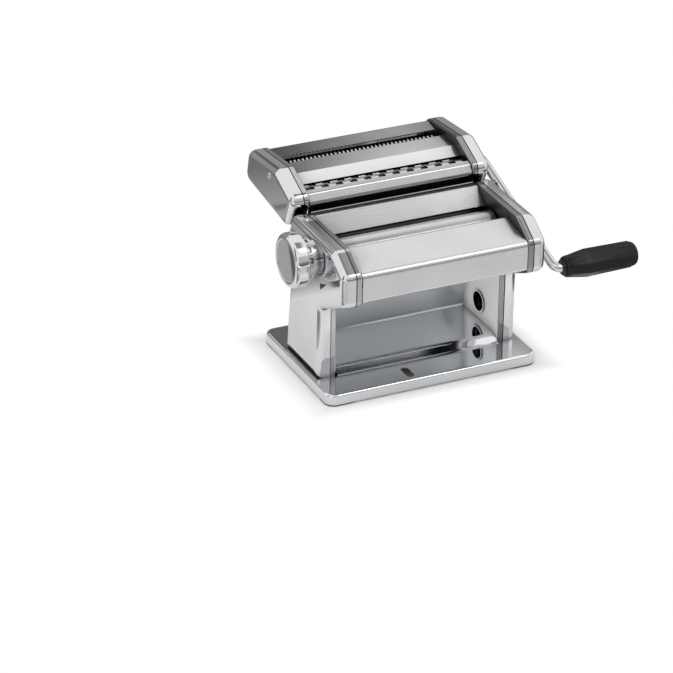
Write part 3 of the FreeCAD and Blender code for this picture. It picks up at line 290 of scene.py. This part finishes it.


def side_plate(name):
    """Inner side sheet: chrome on its flange and rims, satin on its web; painted shade darkens the
    web in the head by the rollers, painted light brightens the web of the leg and the left flange.
    """
    material, tree, shader = start_material(name, 1.0)
    even = place(tree)
    web = rise(tree, math_node(tree, "ABSOLUTE", surface(tree, "Normal")["X"]), *WEB_FACING)
    position = split(tree, even)
    uneven = spread(tree, noise(tree, even, scale=60, detail=2), -0.001, 0.001)
    head = rise(tree, math_node(tree, "ADD", position["Z"], uneven), *HEAD_HEIGHT)
    leg = math_node(tree, "MULTIPLY", web, fade(tree, head, 1.0, 0.0))
    inside = math_node(tree, "MULTIPLY", web, head)
    # Painted light on the left flange, painted shade on the right one.
    flange = spread(tree, position["X"], FLANGE_LEFT_PAINTED_LIGHT, FLANGE_RIGHT_PAINTED_SHADE, -FLANGE_X, FLANGE_X)
    # Painted light on the leg's web; painted shade on the head's web below.
    painted_light_level = math_node(tree, "ADD", flange, fade(tree, leg, 0.0, LEG_PAINTED_LIGHT))
    level = math_node(tree, "SUBTRACT", painted_light_level, fade(tree, inside, 0.0, HEAD_PAINTED_SHADE))
    colour = tint(tree, level, PLATE_DARK, PLATE_LIGHT)
    # Painted shade in gaps, on top of the painted light and shade of the web.
    connect(tree, shader, Base_Color=shaded(tree, colour, reach=0.012, power=1.0),
            Metallic=fade(tree, leg, 1.0, 0.12), Roughness=fade(tree, web, 0.07, 0.38))
    relief(tree, shader, [
        (noise(tree, even, scale=700, detail=2), 0.03, 0.0001),
        (noise(tree, even, scale=12, detail=1), 0.03, 0.002)])
    return material


GEAR = ((0.44, 0.44, 0.46), (0.54, 0.54, 0.56), (0.25, 0.45), around(0.05), 0.1, 1.6)

# Dark and light tint, roughness, waviness, strength of the painted shade in gaps
POLISHED = {
    "shell_chrome": ((0.70, 0.71, 0.725), (0.77, 0.775, 0.785), (0.035, 0.085), 0.05, 1.0),
    "base_steel": ((0.76, 0.77, 0.785), (0.82, 0.83, 0.845), (0.03, 0.075), 0.02, 0.4),
    "crank_chrome": ((0.68, 0.69, 0.70), (0.74, 0.745, 0.75), (0.05, 0.11), 0.02, 1.0),
    # A much darker copy of the chrome: painted shade on the cutter's rear cover.
    "hood_chrome_painted_shade": ((0.32, 0.33, 0.34), (0.37, 0.38, 0.39), (0.1, 0.15), 0.01, 1.0),
}
# Dark and light tint, roughness, direction of the lines, their depth, strength of the painted shade
# in gaps
BRUSHED = {
    "satin_sheet": ((0.67, 0.675, 0.685), (0.73, 0.735, 0.74), (0.2, 0.28),
                    along(0.01), 0.1, 1.6),
    "roller_alloy": ((0.68, 0.685, 0.695), (0.74, 0.745, 0.75), (0.18, 0.26),
                     around(0.02), 0.1, 2.2),
    "cutter_alloy": ((0.72, 0.725, 0.735), (0.80, 0.805, 0.81), (0.18, 0.3),
                     around(0.02), 0.1, 1.5),
    "comb_steel": ((0.60, 0.605, 0.62), (0.70, 0.705, 0.71), (0.24, 0.4), along(0.03), 0.06, 1.6),
    "zinc_steel": ((0.55, 0.56, 0.58), (0.66, 0.67, 0.68), (0.28, 0.45), around(0.03), 0.1, 1.6),
    "gear_steel": GEAR,
    "cutter_gear_steel": GEAR,
    "spring_steel": ((0.34, 0.34, 0.36), (0.44, 0.44, 0.46), (0.25, 0.4), around(0.1), 0.1, 1.6),
    "bush_brass": ((0.68, 0.52, 0.25), (0.78, 0.62, 0.34), (0.2, 0.36), around(0.03), 0.1, 1.6),
    # A lighter copy of the satin sheet: painted light on the back panel.
    "panel_satin_painted_light": ((0.78, 0.80, 0.82), (0.82, 0.84, 0.86), (0.36, 0.44), along(0.01), 0.05, 0.1),
    # A lighter copy of the satin sheet: painted light on the cutter's roof.
    "roof_satin_painted_light": ((0.80, 0.805, 0.81), (0.85, 0.855, 0.86), (0.12, 0.18), along(0.01), 0.08, 1.6),
    # A darker copy of the satin sheet: painted shade on the cutter's front cover.
    "lip_satin_painted_shade": ((0.44, 0.445, 0.455), (0.50, 0.505, 0.515), (0.12, 0.18),
                  along(0.01), 0.08, 1.6),
}
# Dark and light tint, roughness, scale of the grain, its depth, and metallic and specular level
MOULDED = {
    "rubber": ((0.012, 0.012, 0.012), (0.03, 0.03, 0.03), (0.7, 0.9), 2500, 0.2),
    "scraper_plastic": ((0.76, 0.76, 0.74), (0.84, 0.84, 0.82), (0.4, 0.55), 1800, 0.05),
    "dial_plastic": ((0.60, 0.61, 0.62), (0.70, 0.71, 0.72), (0.22, 0.36), 2200, 0.04, 1.0),
    "grip_black": ((0.005, 0.005, 0.006), (0.009, 0.009, 0.011), (0.22, 0.32), 3200, 0.04,
                   0.0, 0.22),
    "ink": ((0.008, 0.008, 0.009), (0.02, 0.02, 0.022), (0.45, 0.6), 4000, 0.05),
}
LOOKS = {name: polished(name, *look) for name, look in POLISHED.items()}
LOOKS.update({name: brushed(name, *look) for name, look in BRUSHED.items()})
LOOKS.update({name: moulded(name, *look) for name, look in MOULDED.items()})
LOOKS["plate_satin"] = side_plate("plate_satin")
# Painted highlight along the foot of the back panel, where it meets the base.
fold_line(LOOKS["panel_satin_painted_light"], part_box("base_pan")[1].z)

# Parts whose finish differs from the rest of their kind; the darker copies on the hood and the
# cutter's front cover are painted shade, and the lighter copies on the roof and the back panel are
# painted light
FINISHES = {
    "back_panel": "panel_satin_painted_light",
    "cutter_front_cover": "lip_satin_painted_shade",
    "cutter_rear_cover": "hood_chrome_painted_shade",
    "cutter_roof": "roof_satin_painted_light",
    "left_side_plate": "plate_satin",
    "right_side_plate": "plate_satin",
    "cutter_left_plate": "plate_satin",
    "cutter_right_plate": "plate_satin",
    "grip_washer": "grip_black",
}

for part in frame["record"]["subparts"]:
    node = nodes[part["node"]]
    node.data.materials.clear()
    node.data.materials.append(LOOKS[FINISHES.get(part["node"], part["material_slot"])])


# Small pieces; profiles and rings are in millimetres

TUCK = 0.01  # how far an end stays inside its CAD box
ARC_STEPS, LONG_ARC_STEPS = 7, 13


def mm(*numbers):
    """A point given in millimetres."""
    return Vector(numbers) / 1000


def axis_point(low, high):
    """Where the line along X through the middle of a box meets x = 0."""
    middle = (low + high) / 2
    return Vector((0, middle.y, middle.z))


def skin(mesh, rings):
    """Join each ring of vertices to the next by a band of faces."""
    for near, far in zip(rings, rings[1:]):
        for step in range(len(near)):
            after = (step + 1) % len(near)
            mesh.faces.new((near[step], near[after], far[after], far[step]))


def finish_mesh(mesh, name, outward=False):
    """Mesh data of finished geometry, with its normals turned outward where that is asked."""
    if outward:
        bmesh.ops.recalc_face_normals(mesh, faces=mesh.faces)
    data = bpy.data.meshes.new(name)
    mesh.to_mesh(data)
    mesh.free()
    return data


def piece(name, mesh, body, slot, look=None, smooth=True):
    """A finished piece that moves with a body; its look is that of its slot unless one is named."""
    thing = bpy.data.objects.new(name, mesh)
    scene.collection.objects.link(thing)
    mesh.materials.clear()
    mesh.materials.append(LOOKS[look or slot])
    for face in mesh.polygons:
        face.use_smooth = smooth
    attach(thing, body)
    return thing


def polygon(angle, sides):
    """Reach of a polygon whose corners are 1 from its middle."""
    half = math.pi / sides
    return math.cos(half) / math.cos((angle + half) % (2 * half) - half)


def lathe(profile, centre, sides=0, faceted=(0, 0), steps=96, closed_start=False):
    """Rings about the X direction through (x, radius) points, with flat sides over a span of x."""
    mesh = bmesh.new()
    rings = []
    for x, radius in profile:
        ring = []
        for step in range(steps):
            angle = 2 * math.pi * step / steps
            reach = radius * (polygon(angle, sides) if faceted[0] < x < faceted[1] else 1)
            point = mm(x, reach * math.cos(angle), reach * math.sin(angle)) + centre
            ring.append(mesh.verts.new(point))
        rings.append(ring)
    skin(mesh, rings)
    mesh.faces.new(rings[-1])
    if closed_start:
        mesh.faces.new(rings[0])
    return finish_mesh(mesh, "lathe", outward=True)


def arc(x, radius, size, start, end, count=ARC_STEPS):
    """Points of a quarter round in a profile, about a centre at (x, radius)."""
    turns = [math.radians(start + (end - start) * step / (count - 1)) for step in range(count)]
    return [(x + size * math.cos(turn), radius + size * math.sin(turn)) for turn in turns]


def crank_grip():
    """Faceted black grip with a plain collar at its neck and a rounded end."""
    low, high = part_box("crank_grip")
    start, end = low.x * 1000, high.x * 1000 - TUCK
    bore, bore_depth, collar, rim, crease = 4.15, 9, 7.2, 2.2, 28
    groove = [(4.6, 9.9), (5.0, 9.55), (5.4, 9.55), (5.8, 9.95)]
    belly = [(13, 11.2), (20.2, 12.3), (21.2, 12.4), (22.4, 12.4), (40, 12.1)]
    profile = [(start + bore_depth, bore), (start, bore), (start, collar)]
    profile += arc(start + rim, collar, rim, 180, 90)
    profile += [(start + x, radius) for x, radius in groove + belly]
    profile += [(end - 5.5, 11.7)]
    profile += arc(end - 4.2, 6.6, 4.2, 90, 0, LONG_ARC_STEPS)
    profile += [(end, 1.2)]
    flats = (start + 5.6, end - 5)
    mesh = lathe(profile, axis_point(low, high), sides=8, faceted=flats)
    grip = piece("grip_cover", mesh, "grip", "grip_black")
    mesh.set_sharp_from_angle(angle=math.radians(crease))
    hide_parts("crank_grip")


# One foot from the ground up: x span, y span, height, radius of the corners
FOOT_RINGS = (
    ((69.8, 99.6), (43.8, 67.6), 0, 8.6),
    ((69.6, 99.8), (43.6, 67.8), 0.2, 8.8),
    ((69.6, 99.8), (43.6, 67.8), 1.33, 8.8),
    ((69.9, 97.6), (43.9, 65.6), 1.34, 6.6),
    ((69.9, 97.6), (43.9, 65.6), 9.4, 6.6),
)


def pad_ring(x, y, z, radius):
    """A level rectangle with round corners, given by its spans."""
    ring = []
    for corner, (side, end) in enumerate(((1, 1), (0, 1), (0, 0), (1, 0))):
        middle_x = x[side] + (-radius if side else radius)
        middle_y = y[end] + (-radius if end else radius)
        for step in range(ARC_STEPS):
            turn = math.radians(90 * corner + 90 * step / (ARC_STEPS - 1))
            ring.append((middle_x + radius * math.cos(turn), middle_y + radius * math.sin(turn), z))
    return ring


def rubber_feet():
    """Corner feet with a lip that shows under the rim of the base."""
    whole = bmesh.new()
    for x_sign in (-1, 1):
        for y_sign in (-1, 1):
            rings = []
            for row in FOOT_RINGS:
                points = [mm(x_sign * x, y_sign * y, z) for x, y, z in pad_ring(*row)]
                rings.append([whole.verts.new(point) for point in points])
            skin(whole, rings)
            whole.faces.new(rings[0])
            whole.faces.new(rings[-1])
    data = finish_mesh(whole, "corner_feet", outward=True)
    feet = piece("corner_feet", data, "frame", "rubber", smooth=False)
    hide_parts("rubber_feet")


def adjuster_knob():
    """Round knob with a broad rounded rim and a face that is set in a little."""
    low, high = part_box("adjuster_knob")
    face, rear = -low.x * 1000 - TUCK, -high.x * 1000
    outside = (high.y - low.y) * 500
    roof, seat, neck = face - 3.1, rear + 3.2, rear + 7.2
    tip, bore, hollow, hub = 0.5, 4.25, 8.2, 15
    bevel, rim = 2, 4.5
    profile = [(roof, tip), (roof, hollow), (seat, hollow), (seat, bore), (rear, bore)]
    profile += [(rear, hub), (neck, hub), (neck, 15.4)]
    profile += arc(neck + bevel, outside - bevel, bevel, 180, 90)
    profile += arc(face - rim, outside - rim, rim, 90, 0, LONG_ARC_STEPS)
    profile += [(face - 0.05, outside - 4.8), (face - 0.45, outside - 5.2)]
    profile += [(face - 0.5, outside - 5.6), (face - 0.5, tip)]
    mirrored = [(-x, radius) for x, radius in profile]
    mesh = lathe(mirrored, axis_point(low, high), closed_start=True)
    knob = piece("knob_cover", mesh, "knob", "shell_chrome")
    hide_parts("adjuster_knob")


def knob_spring():
    """Coil spring inside the knob; pulling the knob presses it against its outer end."""
    low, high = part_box("knob_spring")
    middle = (low + high) / 2
    wire, turns, steps, sides = 0.00045, 4, 40, 10
    radius = (high.y - low.y) / 2 - wire
    length = high.x - low.x - 2 * wire
    whole = bmesh.new()
    rings = []
    for step in range(turns * steps + 1):
        turn = 2 * math.pi * step / steps
        outward = Vector((0, math.cos(turn), math.sin(turn)))
        x = high.x - wire - length * step / (turns * steps)
        centre = Vector((x, middle.y, middle.z)) + radius * outward
        ring = []
        for side in range(sides):
            angle = 2 * math.pi * side / sides
            reach = math.cos(angle) * outward + Vector((math.sin(angle), 0, 0))
            ring.append(whole.verts.new(centre + wire * reach))
        rings.append(ring)
    skin(whole, rings)
    whole.faces.new(rings[0])
    whole.faces.new(rings[-1])
    data = finish_mesh(whole, "spring_coil", outward=True)
    coil = piece("spring_coil", data, "adjuster", "spring_steel")
    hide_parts("knob_spring")
    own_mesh(coil)


def cap_screws():
    """Domed screw heads with a small recess on the end caps."""
    whole = bmesh.new()
    low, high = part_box("cap_screws")
    face, radius, dome_height = 95.5, 3.2, 1.05
    edge = face + 0.45
    profile = [(face - 0.02, radius), (edge, radius)]
    for step in (12, 26, 40, 54, 68):
        turn = math.radians(step)
        profile.append((edge + dome_height * math.sin(turn), radius * math.cos(turn)))
    profile += [(face + 1.44, 1.1), (face + 0.7, 0.75)]
    for side in (-1, 1):
        one_side = [(side * x, reach) for x, reach in profile]
        whole.from_mesh(lathe(one_side, axis_point(low, high), steps=40))
    data = finish_mesh(whole, "cap_screw_heads")
    heads = piece("cap_screw_heads", data, "cutter_head", "shell_chrome")
    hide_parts("cap_screws")


FIGURE_HEIGHT, FIGURE_SHARE = 0.0048, 0.72  # in metres, and as a share of the font's size
FIGURE_BOLDER = 0.00022
DIAL_START, DIAL_STEP, DIAL_COUNT = 224, 30, 10
TICK_HALF_LENGTH, TICK_HALF_WIDTH = 0.0011, 0.00025
PRINT_LIFT, MARK_LIFT = 0.00006, 0.00005  # how far print stands off its surface


def text_mesh(text, height):
    """Flat mesh of one character, centred, in metres."""
    curve = bpy.data.curves.new("figure", "FONT")
    curve.body = text
    curve.align_x = "CENTER"
    curve.align_y = "CENTER"
    curve.size = height / FIGURE_SHARE
    curve.offset = FIGURE_BOLDER
    holder = bpy.data.objects.new("figure", curve)
    scene.collection.objects.link(holder)
    bpy.context.view_layer.update()
    evaluated = holder.evaluated_get(bpy.context.evaluated_depsgraph_get())
    mesh = bpy.data.meshes.new_from_object(evaluated)
    bpy.data.objects.remove(holder)
    return mesh


def dial_figures():
    """Plain numbers and ticks printed round the dial ring."""
    low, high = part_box("dial_ring")
    middle = (low + high) / 2
    radius = (high.y - low.y) / 2 + PRINT_LIFT
    whole = bmesh.new()

    def rolled(x, y, degrees):
        """A point of flat print, rolled on to the ring."""
        turn = math.radians(degrees) - y / radius
        return (middle.x + x, middle.y + radius * math.cos(turn),
                middle.z + radius * math.sin(turn))

    for number in range(DIAL_COUNT):
        figure = text_mesh(str(number), FIGURE_HEIGHT)
        for vertex in figure.vertices:
            vertex.co = rolled(vertex.co.x, vertex.co.y, DIAL_START - DIAL_STEP * number)
        whole.from_mesh(figure)
    for number in range(DIAL_COUNT - 1):
        between = DIAL_START - DIAL_STEP * number - DIAL_STEP / 2
        corners = [rolled(x * TICK_HALF_LENGTH, y * TICK_HALF_WIDTH, between)
                   for x, y in ((-1, -1), (1, -1), (1, 1), (-1, 1))]
        whole.faces.new([whole.verts.new(corner) for corner in corners])
    data = finish_mesh(whole, "dial_figures")
    piece("dial_figures", data, "knob", "grip_black", look="ink", smooth=False)


def index_mark():
    """Printed triangle on the left side that points at the dial."""
    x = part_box("left_outer_shell")[0].x - MARK_LIFT
    corners = [(x, -0.0384, 0.1038), (x, -0.0520, 0.1090), (x, -0.0392, 0.0982)]
    data = bpy.data.meshes.new("index_mark")
    data.from_pydata(corners, [], [(0, 1, 2)])
    piece("index_mark", data, "frame", "grip_black", look="ink", smooth=False)


rubber_feet()
crank_grip()
adjuster_knob()
knob_spring()
cap_screws()
dial_figures()
index_mark()


# Stage, in metres

FLOOR_REACH = 6
BASE_HALF_X, BASE_HALF_Y = 0.1, 0.068
SHADOW_FADE = (0.99, 1.22)  # as shares of the base's half sizes
CARD_LIFT = 0.002
WHITE = (1, 1, 1, 1)
PAPER = (0.9, 0.9, 0.9, 1)
AMBIENT = 0.55


def stage_plane(name, corners, material, glossy_only=False):
    """A flat piece of the studio."""
    data = bpy.data.meshes.new(name)
    data.from_pydata(corners, [], [(0, 1, 2, 3)])
    data.materials.append(material)
    thing = bpy.data.objects.new(name, data)
    scene.collection.objects.link(thing)
    if glossy_only:
        thing.visible_camera = False
        thing.visible_diffuse = False
        thing.visible_shadow = False
        thing.visible_transmission = False


def blank_material(name):
    """A material whose tree is empty, and the tree."""
    material = bpy.data.materials.new(name)
    material.use_nodes = True
    material.node_tree.nodes.clear()
    return material, material.node_tree


def floor_material():
    """White floor: it keeps the soft shadow by the base and is plain white further out."""
    material, tree = blank_material("floor_white")
    paper = tree.nodes.new("ShaderNodeBsdfDiffuse")
    paper.inputs["Color"].default_value = PAPER
    glow = tree.nodes.new("ShaderNodeEmission")
    glow.inputs["Color"].default_value = WHITE
    where = surface(tree, "Position")
    across = math_node(tree, "DIVIDE", math_node(tree, "ABSOLUTE", where["X"]), BASE_HALF_X)
    deep = math_node(tree, "DIVIDE", math_node(tree, "ABSOLUTE", where["Y"]), BASE_HALF_Y)
    away = rise(tree, math_node(tree, "MAXIMUM", across, deep), *SHADOW_FADE)
    path = tree.nodes.new("ShaderNodeLightPath")
    share = math_node(tree, "MULTIPLY", away, path.outputs["Is Camera Ray"])
    mix_shaders(tree, share, paper, glow, "ShaderNodeOutputMaterial")
    return material


def card_material(name, axis, low, high, stops):
    """A card graded in grey along one axis; stops are (place on the axis, brightness)."""
    material, tree = blank_material(name)
    level = rise(tree, surface(tree, "Position")[axis], low, high)
    shares = [((at - low) / (high - low), (grey, grey, grey)) for at, grey in stops]
    glow = tree.nodes.new("ShaderNodeEmission")
    tree.links.new(ramp(tree, level, shares), glow.inputs["Color"])
    end = tree.nodes.new("ShaderNodeOutputMaterial")
    tree.links.new(glow.outputs[0], end.inputs["Surface"])
    return material


def card(name, x, y, z, axis, stops):
    """A card that only reflections show; of x, y and z two are spans and one is a number."""
    spans = [span if isinstance(span, tuple) else (span, span) for span in (x, y, z)]
    first, second = (at for at, span in enumerate((x, y, z)) if isinstance(span, tuple))
    corners = []
    for first_end, second_end in ((0, 0), (1, 0), (1, 1), (0, 1)):
        corner = [span[0] for span in spans]
        corner[first] = spans[first][first_end]
        corner[second] = spans[second][second_end]
        corners.append(corner)
    low, high = spans["XYZ".index(axis)]
    stage_plane(name, corners, card_material(name, axis, low, high, stops), glossy_only=True)


def area_light(name, position, aim, size, power, mirrored=False):
    """A square soft light; reflections show it only where they are meant to."""
    lamp = bpy.data.lights.new(name, "AREA")
    lamp.shape = "SQUARE"
    lamp.size = size
    lamp.energy = power
    thing = bpy.data.objects.new(name, lamp)
    thing.location = position
    direction = Vector(aim) - Vector(position)
    thing.rotation_euler = direction.to_track_quat("-Z", "Y").to_euler()
    thing.visible_glossy = mirrored
    scene.collection.objects.link(thing)


def background(tree, strength):
    """White light from all round."""
    node = tree.nodes.new("ShaderNodeBackground")
    node.inputs["Color"].default_value = WHITE
    node.inputs["Strength"].default_value = strength
    return node


def studio_world():
    """Soft light from all round that looks plain white, also in reflections."""
    world = bpy.data.worlds.new("studio")
    world.use_nodes = True
    tree = world.node_tree
    tree.nodes.clear()
    path = tree.nodes.new("ShaderNodeLightPath").outputs
    seen = math_node(tree, "MAXIMUM", path["Is Camera Ray"], path["Is Glossy Ray"])
    seen = math_node(tree, "MAXIMUM", seen, path["Is Transmission Ray"])
    mix_shaders(tree, seen, background(tree, AMBIENT), background(tree, 1.0),
                "ShaderNodeOutputWorld")
    return world


stage_plane("floor", [(-FLOOR_REACH, -FLOOR_REACH, 0), (FLOOR_REACH, -FLOOR_REACH, 0),
                      (FLOOR_REACH, FLOOR_REACH, 0), (-FLOOR_REACH, FLOOR_REACH, 0)],
            floor_material())
card("back_card", (-1.3, 2.6), 1.7, (0.02, 1.52), "Z", [
    (0.02, 0.3), (0.85, 0.35), (0.9, 0.14), (1.03, 0.14), (1.09, 0.6), (1.22, 0.7),
    (1.27, 0.3), (1.38, 0.3), (1.46, 0.9), (1.52, 1.0)])
card("roof_card", (0.4, 1.4), 1.65, (1.0, 1.2), "X", [
    (0.4, 0.16), (0.69, 0.18), (0.82, 0.95), (0.94, 1.0), (0.985, 0.35), (1.4, 0.35)])
card("ceiling_card", (-0.5, 1.2), (-0.9, 0.25), 2.5, "X", [
    (-0.5, 0.3), (0.88, 0.3), (0.97, 0.55), (1.1, 0.95), (1.2, 1.0)])
card("rear_floor_card", (-1.3, 1.3), (0.125, 1.6), CARD_LIFT, "Y", [
    (0.125, 0.85), (0.15, 0.38), (0.23, 0.25), (0.25, 0.5), (0.3, 0.42), (0.308, 0.12),
    (0.316, 0.4), (0.34, 0.34), (0.4, 0.2), (1.6, 0.2)])
card("front_floor_card", (-0.4, 0.7), (-1.2, -0.13), CARD_LIFT, "Y", [
    (-1.2, 0.7), (-0.45, 0.68), (-0.25, 0.74), (-0.13, 0.95)])
card("left_floor_card", (-0.9, -0.16), (-0.5, -0.02), CARD_LIFT, "X", [
    (-0.9, 0.5), (-0.5, 0.35), (-0.2, 0.3), (-0.16, 0.6)])
card("right_floor_card", (0.2, 1.2), (-0.3, 0.1), CARD_LIFT, "X", [
    (0.2, 0.3), (0.23, 0.1), (0.32, 0.1), (0.45, 0.4), (1.2, 0.45)])
card("shell_card", (0.9, 1.06), 1.64, (1.03, 1.18), "X", [
    (0.9, 0.35), (0.93, 0.62), (1.03, 0.62), (1.06, 0.35)])
card("knob_floor_card", (-0.4, -0.186), (0.13, 0.27), 0.003, "X", [
    (-0.4, 0.45), (-0.206, 0.42), (-0.201, 0.1), (-0.192, 0.1), (-0.186, 0.6)])
card("left_card", -1.7, (-0.5, 0.1), (0.1, 1.6), "Z", [(0.1, 0.1), (1.6, 0.2)])
card("front_card", (-1.6, 1.8), -1.8, (0.02, 1.4), "Z", [
    (0.02, 0.1), (0.37, 0.25), (0.57, 0.55), (1.26, 0.6), (1.4, 0.9)])

area_light("top_light", (-0.2, -0.1, 1.9), (0, 0, 0.1), size=1.5, power=13)
area_light("left_light", (-1.6, -1.5, 1.2), (0, 0, 0.1), size=0.9, power=6)
area_light("fill_light", (-1.3, -1.7, 0.42), (0.05, 0, 0.05), size=0.8, power=22)
area_light("front_light", (0.85, -1.1, 1.9), (0, 0, 0.1), size=0.5, power=2.5, mirrored=True)
scene.world = studio_world()


# Camera, fitted to the photograph

FRAME_PX = 673
FOCAL_PX = 3250.08
SENSOR = 36
CLIP_END = 50
TURN, TILT, ROLL = (math.radians(angle) for angle in (-25.5, 27.58, 0.9))
TARGET, TARGET_PX, TARGET_DEPTH = mm(0, 0, 80), (401.35, 270.0), 2.80322


def photo_camera():
    """A camera that shows the target at its place in the photograph."""
    back = Vector((math.sin(TURN) * math.cos(TILT), -math.cos(TURN) * math.cos(TILT),
                   math.sin(TILT)))
    level = Vector((math.cos(TURN), math.sin(TURN), 0))
    upright = back.cross(level)
    right = level * math.cos(ROLL) + upright * math.sin(ROLL)
    up = upright * math.cos(ROLL) - level * math.sin(ROLL)
    across, down = ((at - FRAME_PX / 2) * TARGET_DEPTH / FOCAL_PX for at in TARGET_PX)
    lens = bpy.data.cameras.new("photo_camera")
    lens.sensor_width = SENSOR
    lens.lens = FOCAL_PX * SENSOR / FRAME_PX
    lens.clip_end = CLIP_END
    camera = bpy.data.objects.new("photo_camera", lens)
    scene.collection.objects.link(camera)
    position = TARGET + back * TARGET_DEPTH - right * across + up * down
    facing = Matrix((right, up, back)).transposed().to_4x4()
    camera.matrix_world = Matrix.Translation(position) @ facing
    return camera


scene.camera = photo_camera()
